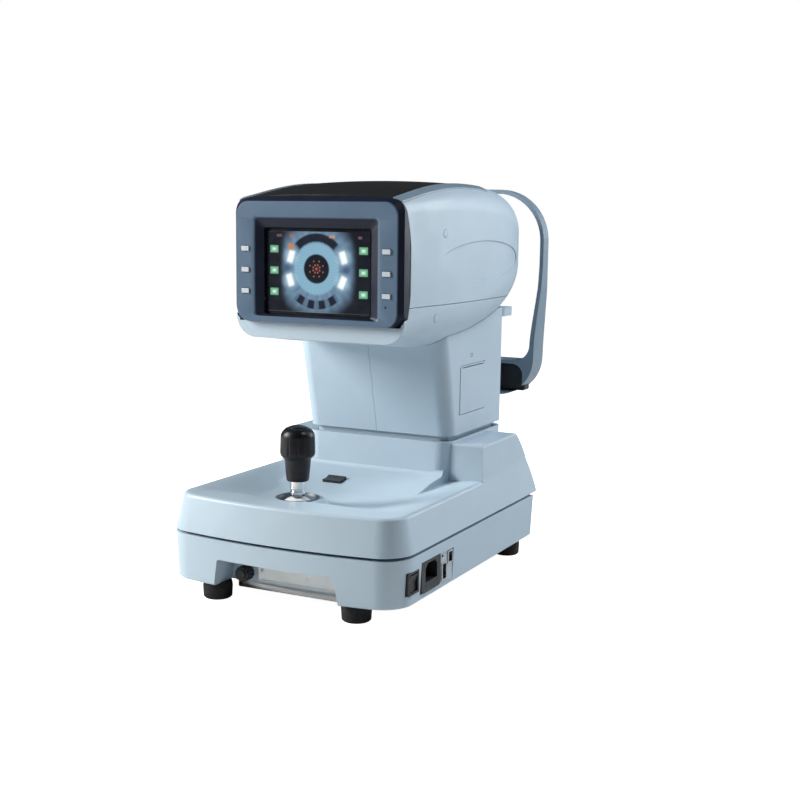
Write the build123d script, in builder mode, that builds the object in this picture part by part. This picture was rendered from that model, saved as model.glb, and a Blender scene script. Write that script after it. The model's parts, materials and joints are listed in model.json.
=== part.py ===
from build123d import *
import os
from math import asin, atan2, cos, degrees, pi, radians, sin, tan

os.makedirs("parts", exist_ok=True)

# Table-top autorefractor.  Millimetres, +Z up, +X to the operator's right, the operator at -Y and
# the patient at +Y.  Depths are measured from the middle of the base; BASE_Y moves that middle so
# that the whole object stands centred on the origin.
BASE_Y = -49.5

# ---- Driving dimensions: base ----
BASE_HALF = 136.0
BASE_FRONT = -180.0
BASE_REAR = 180.0
BASE_BOW = 14.0
FRONT_RADIUS = 34.0
REAR_RADIUS = 12.0
FOOT_HEIGHT = 17.5
BASE_TOP = 66.0
BASE_DRAFT = 2.0
WALL = 3.0
GAP = 0.3

# ---- Driving dimensions: stage ----
STAGE_BOTTOM = 69.0
RIM_Z = 106.0
DECK_Z = 97.0
SHOULDER_Z = 144.0
COLLAR_Z = 145.5
COLLAR_HALF = 88.0
COLLAR_FRONT = 36.0
COLLAR_REAR = 196.0
STAGE_X_TRAVEL = 40.0

# ---- Driving dimensions: neck and head ----
NECK_BOTTOM = 151.5
NECK_HALF = 90.5
NECK_REAR = 186.0
SEAM_Z = 300.0
BEZEL_FRONT = -97.6
HEAD_REAR = 236.0
EYE_Z = 350.0
COVER_HALF = 84.5
RAIL_WIDTH = 10.0
COVER_REAR = 120.0

# ---- Driving dimensions: face frame ----
FRAME_HALF = 110.0
FRAME_TOP = 423.0
FRAME_BOTTOM = 173.0
FRAME_REAR = 279.0
FRAME_CROSS_TOP = 216.0
CHIN_Y = 260.0

UP = (Align.CENTER, Align.CENTER, Align.MIN)


def sag(ball, radius):
    """How far a ball's surface falls from its top at a distance radius from the axis."""
    return ball - (ball * ball - radius * radius) ** 0.5



def at(x, y, z):
    """A point given from the middle of the base."""
    return (x, BASE_Y + y, z)


def level(z):
    """A horizontal sketch plane at height z: sketch Y is depth from the middle of the base."""
    return Plane(origin=(0, BASE_Y, z))


def across(y):
    """An upright sketch plane facing the operator: sketch X is +X, sketch Y is height."""
    return Plane(origin=(0, BASE_Y + y, 0), x_dir=(1, 0, 0), z_dir=(0, -1, 0))


def along(x):
    """An upright fore-and-aft sketch plane: sketch X is depth, sketch Y is height."""
    return Plane(origin=(x, BASE_Y, 0), x_dir=(0, 1, 0), z_dir=(1, 0, 0))


def base_outline(grow, rear=BASE_REAR):
    """The base seen from above, with its bowed front, moved outwards by grow."""
    half = BASE_HALF + grow
    middle = BASE_FRONT - grow
    corner = middle + BASE_BOW
    with BuildSketch(Plane.XY) as outline:
        with BuildLine():
            ThreePointArc((-half, corner), (0, middle), (half, corner))
            Polyline((half, corner), (half, rear + grow), (-half, rear + grow), (-half, corner))
        make_face()
        fronts = outline.vertices().group_by(Axis.Y)[0]
        rears = outline.vertices().group_by(Axis.Y)[-1]
        fillet(fronts, FRONT_RADIUS + grow)
        fillet(rears, max(REAR_RADIUS + grow, 1))
    return outline.sketch_local


def block(x0, x1, y0, y1, z0, z1):
    """A plain rectangular solid between two corners."""
    size = (x1 - x0, y1 - y0, z1 - z0)
    middle = at((x0 + x1) / 2, (y0 + y1) / 2, (z0 + z1) / 2)
    return Location(middle) * Box(*size, mode=Mode.PRIVATE)


# ======================================================================= base
RECESS_TOP = 45.8
RECESS_TOP_HALF = 67.0
RECESS_BOTTOM_HALF = 75.0
RECESS_DEPTH = 38.0
WELL_HALF_X = 95.0
WELL_HALF_Y = 72.0
WELL_Z = 57.0
SWITCH_BOX = (-150.0, -126.0, 29.0, 52.0)
INLET_BOX = (-121.0, -77.0, 24.0, 56.0)
PANEL_BOX = (-76.0, -45.0, 21.5, 55.0)
ARM_HALF = 36.0
ARM_LOW = 24.0
ARM_TOP = 62.0


def recess_face(grow):
    """The front recess as the operator sees it, moved outwards by grow."""
    with BuildSketch(Plane.XY) as face:
        with BuildLine():
            Polyline(
                (-RECESS_BOTTOM_HALF - grow, 0),
                (-RECESS_TOP_HALF - grow, RECESS_TOP + grow),
                (RECESS_TOP_HALF + grow, RECESS_TOP + grow),
                (RECESS_BOTTOM_HALF + grow, 0),
                close=True,
            )
        make_face()
        fillet(face.vertices().group_by(Axis.Y)[-1], 3)
    return face.sketch_local


with BuildPart() as tray_hollow:
    with BuildSketch(level(FOOT_HEIGHT - 1)):
        add(base_outline(-WALL - BASE_DRAFT))
    with BuildSketch(level(BASE_TOP - WALL)):
        add(base_outline(-WALL))
    loft()
    with BuildSketch(across(BASE_FRONT + RECESS_DEPTH + WALL)):
        add(recess_face(WALL))
    extrude(amount=80, mode=Mode.SUBTRACT)
    with BuildSketch(level(WELL_Z - WALL)):
        Rectangle(2 * (WELL_HALF_X + WALL), 2 * (WELL_HALF_Y + WALL))
    extrude(amount=40, mode=Mode.SUBTRACT)

with BuildPart() as base_tray:
    with BuildSketch(level(FOOT_HEIGHT)):
        add(base_outline(-BASE_DRAFT))
    with BuildSketch(level(BASE_TOP)):
        add(base_outline(0))
    loft()
    fillet(base_tray.faces().sort_by(Axis.Z)[0].edges(), 2.5)
    add(tray_hollow.part, mode=Mode.SUBTRACT)
    with BuildSketch(across(BASE_FRONT + RECESS_DEPTH)):
        add(recess_face(0))
    extrude(amount=80, mode=Mode.SUBTRACT)
    with BuildSketch(level(WELL_Z)):
        RectangleRounded(2 * WELL_HALF_X, 2 * WELL_HALF_Y, 6)
    extrude(amount=40, mode=Mode.SUBTRACT)
    for y0, y1, z0, z1 in (SWITCH_BOX, INLET_BOX, PANEL_BOX):
        add(block(120, 140, y0, y1, z0, z1), mode=Mode.SUBTRACT)
    arm_gap = (-ARM_HALF - GAP, ARM_HALF + GAP, 170, 185, ARM_LOW - GAP, ARM_TOP + GAP)
    add(block(*arm_gap), mode=Mode.SUBTRACT)
base_tray.part.label = "base_tray"
export_step(base_tray.part, "parts/base_tray.step")

FOOT_SPOTS = [(-81.3, -153.5), (81.3, -153.5), (-115.0, 150.7), (115.0, 150.7)]
with BuildPart() as base_plate:
    with BuildSketch(level(FOOT_HEIGHT)):
        add(base_outline(-WALL - BASE_DRAFT - 0.4))
    extrude(amount=2)
    with BuildSketch(across(BASE_FRONT + RECESS_DEPTH + WALL + GAP)):
        add(recess_face(WALL + GAP))
    extrude(amount=80, mode=Mode.SUBTRACT)
    with BuildSketch(level(FOOT_HEIGHT)):
        with GridLocations(14, 8, 9, 9):
            SlotOverall(10, 3)
    extrude(amount=2, mode=Mode.SUBTRACT)
base_plate.part.label = "base_plate"
export_step(base_plate.part, "parts/base_plate.step")

FOOT_RADIUS = 15.3
with BuildPart() as rubber_feet:
    for x, y in FOOT_SPOTS:
        with BuildSketch(Plane(origin=at(x, y, 0), x_dir=(1, 0, 0), z_dir=(0, -1, 0))):
            with BuildLine():
                Polyline((0, 0), (FOOT_RADIUS - 2, 0), (FOOT_RADIUS - 0.6, 1.4), (FOOT_RADIUS, 12.5))
                Polyline((FOOT_RADIUS, 12.5), (FOOT_RADIUS - 1, FOOT_HEIGHT), (0, FOOT_HEIGHT), (0, 0))
            make_face()
        revolve(axis=Axis(at(x, y, 0), (0, 0, 1)))
rubber_feet.part.label = "rubber_feet"
export_step(rubber_feet.part, "parts/rubber_feet.step")

# Right-hand connectors: their faces stand on the drafted side wall.
FACE_X = 135.0
SOCKET_SPOTS = [(-71.5, 51.5, 7.0, 5.0), (-66.5, 34.5, 12.0, 18.0), (-52.0, 46.5, 12.0, 13.0)]
with BuildPart() as connector_panel:
    y0, y1, z0, z1 = PANEL_BOX
    add(block(130, FACE_X - 1, y0 + GAP, y1 - GAP, z0 + GAP, z1 - GAP))
    with BuildSketch(along(128)):
        for y, z, width, height in SOCKET_SPOTS:
            with Locations((y, z)):
                Rectangle(width + GAP, height + GAP)
    extrude(amount=10, mode=Mode.SUBTRACT)
connector_panel.part.label = "connector_panel"
export_step(connector_panel.part, "parts/connector_panel.step")

with BuildPart() as data_sockets:
    with BuildSketch(along(122)):
        for y, z, width, height in SOCKET_SPOTS:
            with Locations((y, z)):
                RectangleRounded(width, height, 1)
    extrude(amount=FACE_X - 122)
    with BuildSketch(along(126)):
        for y, z, width, height in SOCKET_SPOTS:
            with Locations((y, z)):
                Rectangle(width - 2.4, height - 2.4)
    extrude(amount=12, mode=Mode.SUBTRACT)
    with BuildSketch(along(124)):
        for y, z, width, height in SOCKET_SPOTS:
            with Locations((y, z)):
                Rectangle(1.6, height - 3.4)
    extrude(amount=9)
data_sockets.part.label = "data_sockets"
export_step(data_sockets.part, "parts/data_sockets.step")

INLET_Y = -99.0
SOCKET_Z = 43.5
SOCKET_WIDTH = 27.0
SOCKET_HEIGHT = 19.0
DRAWER_Z = 29.0
with BuildPart() as power_inlet:
    y0, y1, z0, z1 = INLET_BOX
    with BuildSketch(along(FACE_X - 2)):
        with Locations(((y0 + y1) / 2, (z0 + z1) / 2)):
            RectangleRounded(y1 - y0 - GAP, z1 - z0 - GAP, 4)
    extrude(amount=2.8)
    add(block(108, FACE_X - 2, y0 + 3, y1 - 3, z0 + 1, z1 - 1))
    with BuildSketch(along(114)) as socket_mouth:
        with Locations((INLET_Y, SOCKET_Z)):
            Rectangle(SOCKET_WIDTH, SOCKET_HEIGHT)
        chamfer(socket_mouth.vertices().group_by(Axis.Y)[-1], 5)
    extrude(amount=30, mode=Mode.SUBTRACT)
    with BuildSketch(along(112)):
        earth = (INLET_Y, SOCKET_Z + 3.5)
        with Locations(earth, (INLET_Y - 7, SOCKET_Z - 1.5), (INLET_Y + 7, SOCKET_Z - 1.5)):
            Rectangle(2, 4)
    extrude(amount=14)
    with BuildSketch(along(110)):
        with Locations((INLET_Y, DRAWER_Z)):
            Rectangle(25.6, 6.6)
    extrude(amount=40, mode=Mode.SUBTRACT)
power_inlet.part.label = "power_inlet"
export_step(power_inlet.part, "parts/power_inlet.step")

with BuildPart() as fuse_drawer:
    with BuildSketch(along(111)):
        with Locations((INLET_Y, DRAWER_Z)):
            Rectangle(25, 6)
    extrude(amount=FACE_X + 1 - 111)
    with BuildSketch(level(DRAWER_Z)):
        with Locations((119, INLET_Y)):
            SlotOverall(15, 5.4)
    extrude(amount=5, mode=Mode.SUBTRACT)
fuse_drawer.part.label = "fuse_drawer"
export_step(fuse_drawer.part, "parts/fuse_drawer.step")

SWITCH_Y = -138.0
SWITCH_Z = 40.5
SWITCH_PIVOT_X = 129.0
ROCKER_HALF = 8.6
with BuildPart() as switch_housing:
    y0, y1, z0, z1 = SWITCH_BOX
    with BuildSketch(along(FACE_X - 1.6)):
        with Locations((SWITCH_Y, SWITCH_Z)):
            RectangleRounded(y1 - y0 - GAP, z1 - z0 - GAP, 1.5)
    extrude(amount=2.2)
    add(block(112, FACE_X - 1.6, y0 + 1.5, y1 - 1.5, z0 + 0.8, z1 - 0.8))
    with BuildSketch(along(115)):
        with Locations((SWITCH_Y, SWITCH_Z)):
            Rectangle(2 * ROCKER_HALF + 0.8, 2 * ROCKER_HALF + 1.6)
    extrude(amount=30, mode=Mode.SUBTRACT)
switch_housing.part.label = "switch_housing"
export_step(switch_housing.part, "parts/switch_housing.step")

ROCKER_TILT = 7.0


def rocker_profile(half, depth, valley, rise):
    """A rocker seen from the side of its pivot: a shallow V face over a round back."""
    with BuildSketch(Plane.XY) as face:
        with BuildLine():
            back = 0.35 * half
            Polyline((0, valley), (half, rise), (half, rise - 3), (back, -depth), (-back, -depth))
            Polyline((-back, -depth), (-half, rise - 3), (-half, rise), (0, valley))
        make_face()
    return face.sketch_local


with BuildPart() as power_rocker:
    rocker_plane = Plane(origin=at(SWITCH_PIVOT_X, SWITCH_Y, SWITCH_Z), x_dir=(0, 0, 1), z_dir=(0, 1, 0))
    with BuildSketch(rocker_plane):
        with Locations(Location((0, 0, 0), (0, 0, ROCKER_TILT))):
            add(rocker_profile(ROCKER_HALF, 8, 4.4, 5.6))
    extrude(amount=ROCKER_HALF, both=True)
power_rocker.part.label = "power_rocker"
export_step(power_rocker.part, "parts/power_rocker.step")

with BuildPart() as power_supply:
    add(block(20, 104, -132, -84, 21, 50))
    fillet(power_supply.edges().filter_by(Axis.Z), 3)
    with BuildSketch(level(50)):
        with Locations((62, -108)):
            with GridLocations(8, 12, 9, 3):
                SlotOverall(8, 3, rotation=90)
    extrude(amount=-4, mode=Mode.SUBTRACT)
power_supply.part.label = "power_supply"
export_step(power_supply.part, "parts/power_supply.step")

LOCK_X = -52.0
LOCK_Z = 27.0
LOCK_RADIUS = 8.0
with BuildPart() as lock_knob:
    with BuildSketch(across(BASE_FRONT + RECESS_DEPTH - 0.4)):
        with Locations((LOCK_X, LOCK_Z)):
            Circle(LOCK_RADIUS)
            with PolarLocations(LOCK_RADIUS, 12):
                Circle(0.9, mode=Mode.SUBTRACT)
    extrude(amount=12)
    fillet(lock_knob.faces().sort_by(Axis.Y)[0].edges(), 0.6)
    with BuildSketch(across(BASE_FRONT + RECESS_DEPTH - 12.4)):
        with Locations((LOCK_X, LOCK_Z)):
            Circle(5)
    extrude(amount=1.5)
lock_knob.part.label = "lock_knob"
export_step(lock_knob.part, "parts/lock_knob.step")

# ------------------------------------------------- cross stage: racks, axle and pinions
MODULE = 1.5
PINION_TEETH = 16
PINION_RADIUS = MODULE * PINION_TEETH / 2
TOOTH_TALL = 1.2
TOOTH_DEEP = 1.5
TOOTH_HALF = 0.85
PITCH_Z = 65.5
AXLE_Z = PITCH_Z + PINION_RADIUS
AXLE_RADIUS = 4.0
RACK_X = 72.0
RACK_HALF = 4.0
RACK_STEP = pi * MODULE
RACK_TEETH = 17
RACK_LENGTH = RACK_STEP * RACK_TEETH


def tooth(half_mid, tall, deep):
    """A straight-sided tooth about its pitch line, pointing along +Y of the sketch."""
    lean = 0.36
    with BuildSketch(Plane.XY) as face:
        with BuildLine():
            Polyline(
                (-half_mid - lean * deep, -deep),
                (half_mid + lean * deep, -deep),
                (half_mid - lean * tall, tall),
                (-half_mid + lean * tall, tall),
                close=True,
            )
        make_face()
    return face.sketch_local


with BuildPart() as stage_racks:
    for side in (-1, 1):
        with BuildSketch(along(side * RACK_X - RACK_HALF)):
            with Locations((0, (WELL_Z + PITCH_Z - TOOTH_DEEP) / 2)):
                Rectangle(RACK_LENGTH, PITCH_Z - TOOTH_DEEP - WELL_Z)
            for place in range(RACK_TEETH):
                centre = (place - RACK_TEETH // 2) * RACK_STEP
                with Locations((centre, PITCH_Z)):
                    add(tooth(TOOTH_HALF, TOOTH_TALL, TOOTH_DEEP + 0.1))
        extrude(amount=2 * RACK_HALF)
stage_racks.part.label = "stage_racks"
export_step(stage_racks.part, "parts/stage_racks.step")

with BuildPart() as rack_wheels:
    for side in (-1, 1):
        with BuildSketch(along(side * RACK_X - RACK_HALF)):
            with Locations((0, AXLE_Z)):
                Circle(PINION_RADIUS - TOOTH_DEEP)
                for place in range(PINION_TEETH):
                    turn = (place + 0.5) * 360 / PINION_TEETH
                    out = Location((0, 0, 0), (0, 0, turn)) * Location((0, PINION_RADIUS, 0))
                    with Locations(out):
                        add(tooth(TOOTH_HALF, TOOTH_TALL, TOOTH_DEEP + 0.3))
                Circle(AXLE_RADIUS, mode=Mode.SUBTRACT)
        extrude(amount=2 * RACK_HALF)
rack_wheels.part.label = "rack_wheels"
export_step(rack_wheels.part, "parts/rack_wheels.step")

AXLE_HALF = 85.0
BLOCK_X = 81.0
with BuildPart() as cross_axle:
    with BuildSketch(along(-AXLE_HALF)):
        with Locations((0, AXLE_Z)):
            Circle(AXLE_RADIUS)
    extrude(amount=2 * AXLE_HALF)
cross_axle.part.label = "cross_axle"
export_step(cross_axle.part, "parts/cross_axle.step")

with BuildPart() as axle_blocks:
    for side in (-1, 1):
        with BuildSketch(along(side * BLOCK_X - 3)):
            with Locations((0, (WELL_Z + GAP + AXLE_Z + 8) / 2)):
                RectangleRounded(20, AXLE_Z + 8 - WELL_Z - GAP, 3)
            with Locations((0, AXLE_Z)):
                Circle(AXLE_RADIUS + 0.06, mode=Mode.SUBTRACT)
        extrude(amount=6)
axle_blocks.part.label = "axle_blocks"
export_step(axle_blocks.part, "parts/axle_blocks.step")

# ======================================================================= stage
RIM_LEAN = 8.5
SHOULDER_LEAN = 10.5
RIM_ROUND = 4.5
STAGE_FRONT = -190.5
STAGE_REAR = 190.0
COLLAR_RADIUS = 16.0
DISH_HALF = 66.0
DISH_FRONT = -108.0
RIM_HALF = 122.5
RIM_FRONT = -136.0
JOY_X = -7.0
JOY_Y = -118.0
JOY_Z = 84.0
DOME_RADIUS = 22.8
RING_OUTER = 22.8
RING_INNER = 19.4
ROCKER_X = -23.0
ROCKER_Y = -14.0
RAMP_LOW_Y = -45.0
RAMP_LOW_Z = 96.5
RAMP_HIGH_Y = 4.0
RAMP_HIGH_Z = 106.0
RAMP_HALF = 84.0
RAMP_FRONT = -60.0
RAMP_CORNER = 38.0
COVE_START = (31.0, 108.4)
COVE_MIDDLE = (35.2, 110.2)
COVE_END = (37.2, 114.5)
RAMP_TILT = degrees(atan2(RAMP_HIGH_Z - RAMP_LOW_Z, RAMP_HIGH_Y - RAMP_LOW_Y))


def stage_side(inset):
    """The stage cover seen from its side, without the collar, moved inwards by inset."""
    low = STAGE_BOTTOM if inset == 0 else STAGE_BOTTOM - 5
    with BuildSketch(Plane.XY) as face:
        with BuildLine():
            Polyline(
                (STAGE_FRONT, low),
                (STAGE_FRONT, RIM_Z - inset),
                (46 + inset, RIM_Z - inset),
                (48 + inset, SHOULDER_Z - inset),
                (146 - inset, SHOULDER_Z - inset),
            )
            ThreePointArc(
                (146 - inset, SHOULDER_Z - inset),
                (174.5 - inset, 112 - 0.5 * inset),
                (STAGE_REAR - inset, 74),
            )
            Polyline(
                (STAGE_REAR - inset, 74),
                (STAGE_REAR - inset, low),
                (STAGE_FRONT, low),
            )
        make_face()
    return face.sketch_local


def collar_outline(half, front, rear, radius):
    """The column collar seen from above."""
    with BuildSketch(Plane.XY) as face:
        with Locations((0, (front + rear) / 2)):
            RectangleRounded(2 * half, rear - front, radius)
    return face.sketch_local


def stage_form(inset):
    """The stage cover as a full solid, moved inwards by inset, without its collar."""
    with BuildPart() as form:
        low = STAGE_BOTTOM if inset == 0 else STAGE_BOTTOM - 5
        for z, lean in ((low, 0), (RIM_Z + 2, RIM_LEAN), (SHOULDER_Z + 2, SHOULDER_LEAN)):
            with BuildSketch(level(z)):
                add(base_outline(-inset - lean, STAGE_REAR + lean))
        loft(ruled=True)
        with BuildSketch(along(-BASE_HALF - 5)):
            add(stage_side(inset))
        extrude(amount=2 * BASE_HALF + 10, mode=Mode.INTERSECT)
    return form.part


with BuildPart() as stage_solid:
    add(stage_form(0))
    tops = stage_solid.faces().filter_by(Axis.Z)
    rim_edges = tops.sort_by(Axis.Z)[1].edges()
    shoulder_edges = tops.sort_by(Axis.Z)[-1].edges()
    fillet(rim_edges.filter_by_position(Axis.Y, BASE_Y - 200, BASE_Y + 45), RIM_ROUND)
    fillet(shoulder_edges, 3)

UNDER_DECK = 93.0
with BuildPart() as stage_hollow:
    add(stage_form(WALL))
    add(block(-140, 140, -200, 49, UNDER_DECK, 150), mode=Mode.SUBTRACT)
    with BuildSketch(level(STAGE_BOTTOM - 5)):
        add(collar_outline(84.5, 42, 192, COLLAR_RADIUS - 3))
    extrude(amount=COLLAR_Z - WALL - STAGE_BOTTOM + 5)

with BuildPart() as deck_dish:
    with BuildSketch(level(DECK_Z)):
        add(collar_outline(DISH_HALF, DISH_FRONT, 150, 14))
    with BuildSketch(level(RIM_Z + 1)):
        add(collar_outline(RIM_HALF, RIM_FRONT, 200, 16))
    loft()
    add(block(-140, 140, 46, 260, 90, 110), mode=Mode.SUBTRACT)

SLEEVE_FRONT = 46.5
SLEEVE_REAR = 188.0
SLEEVE_HALF = 83.3
ROCKER_Z = RAMP_LOW_Z + (ROCKER_Y - RAMP_LOW_Y) * tan(radians(RAMP_TILT))
ramp_plane = Plane(
    origin=at(ROCKER_X, ROCKER_Y, ROCKER_Z),
    x_dir=(1, 0, 0),
    z_dir=(0, -sin(radians(RAMP_TILT)), cos(radians(RAMP_TILT))),
)
with BuildPart() as ramp:
    with BuildSketch(along(-RAMP_HALF)):
        with BuildLine():
            Polyline((RAMP_LOW_Y - 20, 93), (RAMP_LOW_Y, RAMP_LOW_Z), (RAMP_HIGH_Y, RAMP_HIGH_Z))
            Line((RAMP_HIGH_Y, RAMP_HIGH_Z), COVE_START)
            ThreePointArc(COVE_START, COVE_MIDDLE, COVE_END)
            Polyline(COVE_END, (60, COVE_END[1]), (60, 90), (RAMP_LOW_Y - 20, 90), (RAMP_LOW_Y - 20, 93))
        make_face()
    extrude(amount=2 * RAMP_HALF)
    with BuildSketch(level(90)):
        add(collar_outline(RAMP_HALF, RAMP_FRONT, 100, RAMP_CORNER))
    extrude(amount=40, mode=Mode.INTERSECT)

with BuildPart() as stage_cover:
    add(stage_solid.part)
    add(deck_dish.part, mode=Mode.SUBTRACT)
    # the raised seat of the joystick, which runs into the front lip
    with BuildSketch(level(DECK_Z - 1)):
        with Locations((JOY_X, JOY_Y)):
            Circle(RING_OUTER + 12)
    with BuildSketch(level(RIM_Z - 1)):
        with Locations((JOY_X, JOY_Y)):
            Circle(RING_OUTER + 3)
    loft()
    # the collar, and the ramp that runs up into it
    with BuildSketch(level(STAGE_BOTTOM)):
        add(collar_outline(COLLAR_HALF - 1.5, COLLAR_FRONT - 2, COLLAR_REAR - 1, COLLAR_RADIUS))
    with BuildSketch(level(COLLAR_Z)):
        add(collar_outline(COLLAR_HALF + 1, COLLAR_FRONT + 3, COLLAR_REAR, COLLAR_RADIUS))
    loft()
    add(ramp.part)
    # the hollow under the cover and the openings through it
    add(stage_hollow.part, mode=Mode.SUBTRACT)
    with BuildSketch(level(COLLAR_Z + 5)):
        add(collar_outline(SLEEVE_HALF + 1.2, SLEEVE_FRONT - 1.2, SLEEVE_REAR + 1.2, 12))
    extrude(amount=-20, mode=Mode.SUBTRACT)
    with BuildSketch(level(UNDER_DECK - 5)):
        with Locations((JOY_X, JOY_Y)):
            Circle(RING_OUTER + 0.1)
    extrude(amount=30, mode=Mode.SUBTRACT)
    with BuildSketch(ramp_plane):
        Rectangle(22.9, 15.4)
    extrude(amount=14, both=True, mode=Mode.SUBTRACT)
stage_cover.part.label = "stage_cover"
export_step(stage_cover.part, "parts/stage_cover.step")

PLATE_Z = 70.0
PLATE_TOP = PLATE_Z + 2.5
PLATE_HALF = 130.0
SLOT_IN = RACK_X - RACK_HALF - STAGE_X_TRAVEL - 0.8
SLOT_OUT = BLOCK_X + 3 + STAGE_X_TRAVEL + 1.5
YOKE_HALF = 14.0
with BuildPart() as stage_plate:
    add(block(-PLATE_HALF, PLATE_HALF, -150, 165, PLATE_Z, PLATE_TOP))
    fillet(stage_plate.edges().filter_by(Axis.Z), 12)
    for side in (-1, 1):
        middle = side * (SLOT_IN + SLOT_OUT) / 2
        with BuildSketch(level(PLATE_Z)):
            with Locations((middle, 0)):
                Rectangle(SLOT_OUT - SLOT_IN, 29)
        extrude(amount=5, mode=Mode.SUBTRACT)
    # two cheeks that carry the joystick's gimbal
    for side in (-1, 1):
        middle = JOY_X + side * (YOKE_HALF + 1.5)
        add(block(middle - 1.5, middle + 1.5, JOY_Y - 5, JOY_Y + 5, PLATE_TOP, JOY_Z + 4))
    with BuildSketch(along(JOY_X - 30)):
        with Locations((JOY_Y, JOY_Z)):
            Circle(1.56)
    extrude(amount=60, mode=Mode.SUBTRACT)
stage_plate.part.label = "stage_plate"
export_step(stage_plate.part, "parts/stage_plate.step")

BUSH_X = 18.0
with BuildPart() as stage_bushes:
    for side in (-1, 1):
        with BuildSketch(along(side * BUSH_X - 8)):
            with Locations((0, (PLATE_TOP + AXLE_Z + 9) / 2)):
                RectangleRounded(22, AXLE_Z + 9 - PLATE_TOP, 2)
            with Locations((0, AXLE_Z)):
                Circle(AXLE_RADIUS + 0.05, mode=Mode.SUBTRACT)
        extrude(amount=16)
stage_bushes.part.label = "stage_bushes"
export_step(stage_bushes.part, "parts/stage_bushes.step")

with BuildPart() as main_board:
    add(block(-105, 105, -92, -26, PLATE_TOP + 3, PLATE_TOP + 4.6))
    for x, y, width, depth, tall in (
        (-60, -60, 28, 28, 3),
        (-15, -70, 14, 20, 2.5),
        (40, -55, 22, 22, 6),
        (80, -72, 16, 12, 9),
        (-92, -48, 12, 30, 9),
    ):
        spot = (x - width / 2, x + width / 2, y - depth / 2, y + depth / 2)
        add(block(*spot, PLATE_TOP + 4.6, PLATE_TOP + 4.6 + tall))
    for x in (-98, 98):
        for y in (-86, -32):
            with Locations(at(x, y, PLATE_TOP)):
                Cylinder(3, 3.5, align=UP)
main_board.part.label = "main_board"
export_step(main_board.part, "parts/main_board.step")

# ------------------------------------------------- joystick
joy_axis = Axis(at(JOY_X, JOY_Y, 0), (0, 0, 1))
joy_plane = Plane(origin=at(JOY_X, JOY_Y, 0), x_dir=(1, 0, 0), z_dir=(0, -1, 0))
with BuildPart() as joystick_ring:
    with BuildSketch(joy_plane):
        with BuildLine():
            Polyline((RING_INNER, UNDER_DECK + 6), (RING_OUTER, UNDER_DECK + 6), (RING_OUTER, RIM_Z - 0.4))
            Polyline((RING_OUTER, RIM_Z - 0.4), (RING_OUTER - 1.5, RIM_Z + 0.2), (RING_INNER, RIM_Z - 3))
            Line((RING_INNER, RIM_Z - 3), (RING_INNER, UNDER_DECK + 6))
        make_face()
    revolve(axis=joy_axis)
joystick_ring.part.label = "joystick_ring"
export_step(joystick_ring.part, "parts/joystick_ring.step")

SHAFT_RADIUS = 7.8
STEM_RADIUS = 4.0
PIN_RADIUS = 1.5
GIMBAL_INNER = 9.0
GIMBAL_OUTER = 12.0
DOME_ANGLE = 56.0
DOME_SKIN = 1.5
GRIP_LOW = 123.0
GRIP_TOP = 180.0
with BuildPart() as joystick_gimbal:
    with BuildSketch(level(JOY_Z - 3)):
        with Locations((JOY_X, JOY_Y)):
            Circle(GIMBAL_OUTER)
            Circle(GIMBAL_INNER, mode=Mode.SUBTRACT)
    extrude(amount=6)
    for side in (-1, 1):
        with BuildSketch(along(JOY_X + side * (GIMBAL_INNER + 1))):
            with Locations((JOY_Y, JOY_Z)):
                Circle(PIN_RADIUS)
        extrude(amount=side * (YOKE_HALF + 2.5 - GIMBAL_INNER - 1))
    with BuildSketch(across(JOY_Y + 20)):
        with Locations((JOY_X, JOY_Z)):
            Circle(PIN_RADIUS + 0.06)
    extrude(amount=40, mode=Mode.SUBTRACT)
joystick_gimbal.part.label = "joystick_gimbal"
export_step(joystick_gimbal.part, "parts/joystick_gimbal.step")

with BuildPart() as joystick_shaft:
    with BuildSketch(joy_plane):
        with BuildLine():
            Polyline((0, JOY_Z - 5), (STEM_RADIUS, JOY_Z - 5), (STEM_RADIUS, JOY_Z + DOME_RADIUS + 0.5))
            Polyline(
                (STEM_RADIUS, JOY_Z + DOME_RADIUS + 0.5),
                (SHAFT_RADIUS, JOY_Z + DOME_RADIUS + 0.5),
                (SHAFT_RADIUS, 112),
                (SHAFT_RADIUS - 1, 112.6),
                (SHAFT_RADIUS - 1, 114),
                (SHAFT_RADIUS, 114.6),
                (SHAFT_RADIUS, 150),
                (0, 150),
                (0, JOY_Z - 5),
            )
        make_face()
    revolve(axis=joy_axis)
    with BuildSketch(across(JOY_Y + GIMBAL_OUTER - 0.5)):
        with Locations((JOY_X, JOY_Z)):
            Circle(PIN_RADIUS)
    extrude(amount=2 * GIMBAL_OUTER - 1)
joystick_shaft.part.label = "joystick_shaft"
export_step(joystick_shaft.part, "parts/joystick_shaft.step")


def dome_point(radius, angle):
    """A point on the dome at an angle from its top."""
    return (radius * sin(radians(angle)), JOY_Z + radius * cos(radians(angle)))


with BuildPart() as joystick_dome:
    inner = DOME_RADIUS - DOME_SKIN
    hub = degrees(asin(STEM_RADIUS / DOME_RADIUS))
    hub_inner = degrees(asin(STEM_RADIUS / inner))
    with BuildSketch(joy_plane):
        with BuildLine():
            top = dome_point(DOME_RADIUS, hub)
            top_inner = dome_point(inner, hub_inner)
            rim = dome_point(DOME_RADIUS, DOME_ANGLE)
            rim_inner = dome_point(inner, DOME_ANGLE)
            ThreePointArc(top, dome_point(DOME_RADIUS, 30), rim)
            Line(rim, rim_inner)
            ThreePointArc(rim_inner, dome_point(inner, 30), top_inner)
            Line(top_inner, top)
        make_face()
    revolve(axis=joy_axis)
joystick_dome.part.label = "joystick_dome"
export_step(joystick_dome.part, "parts/joystick_dome.step")

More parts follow.
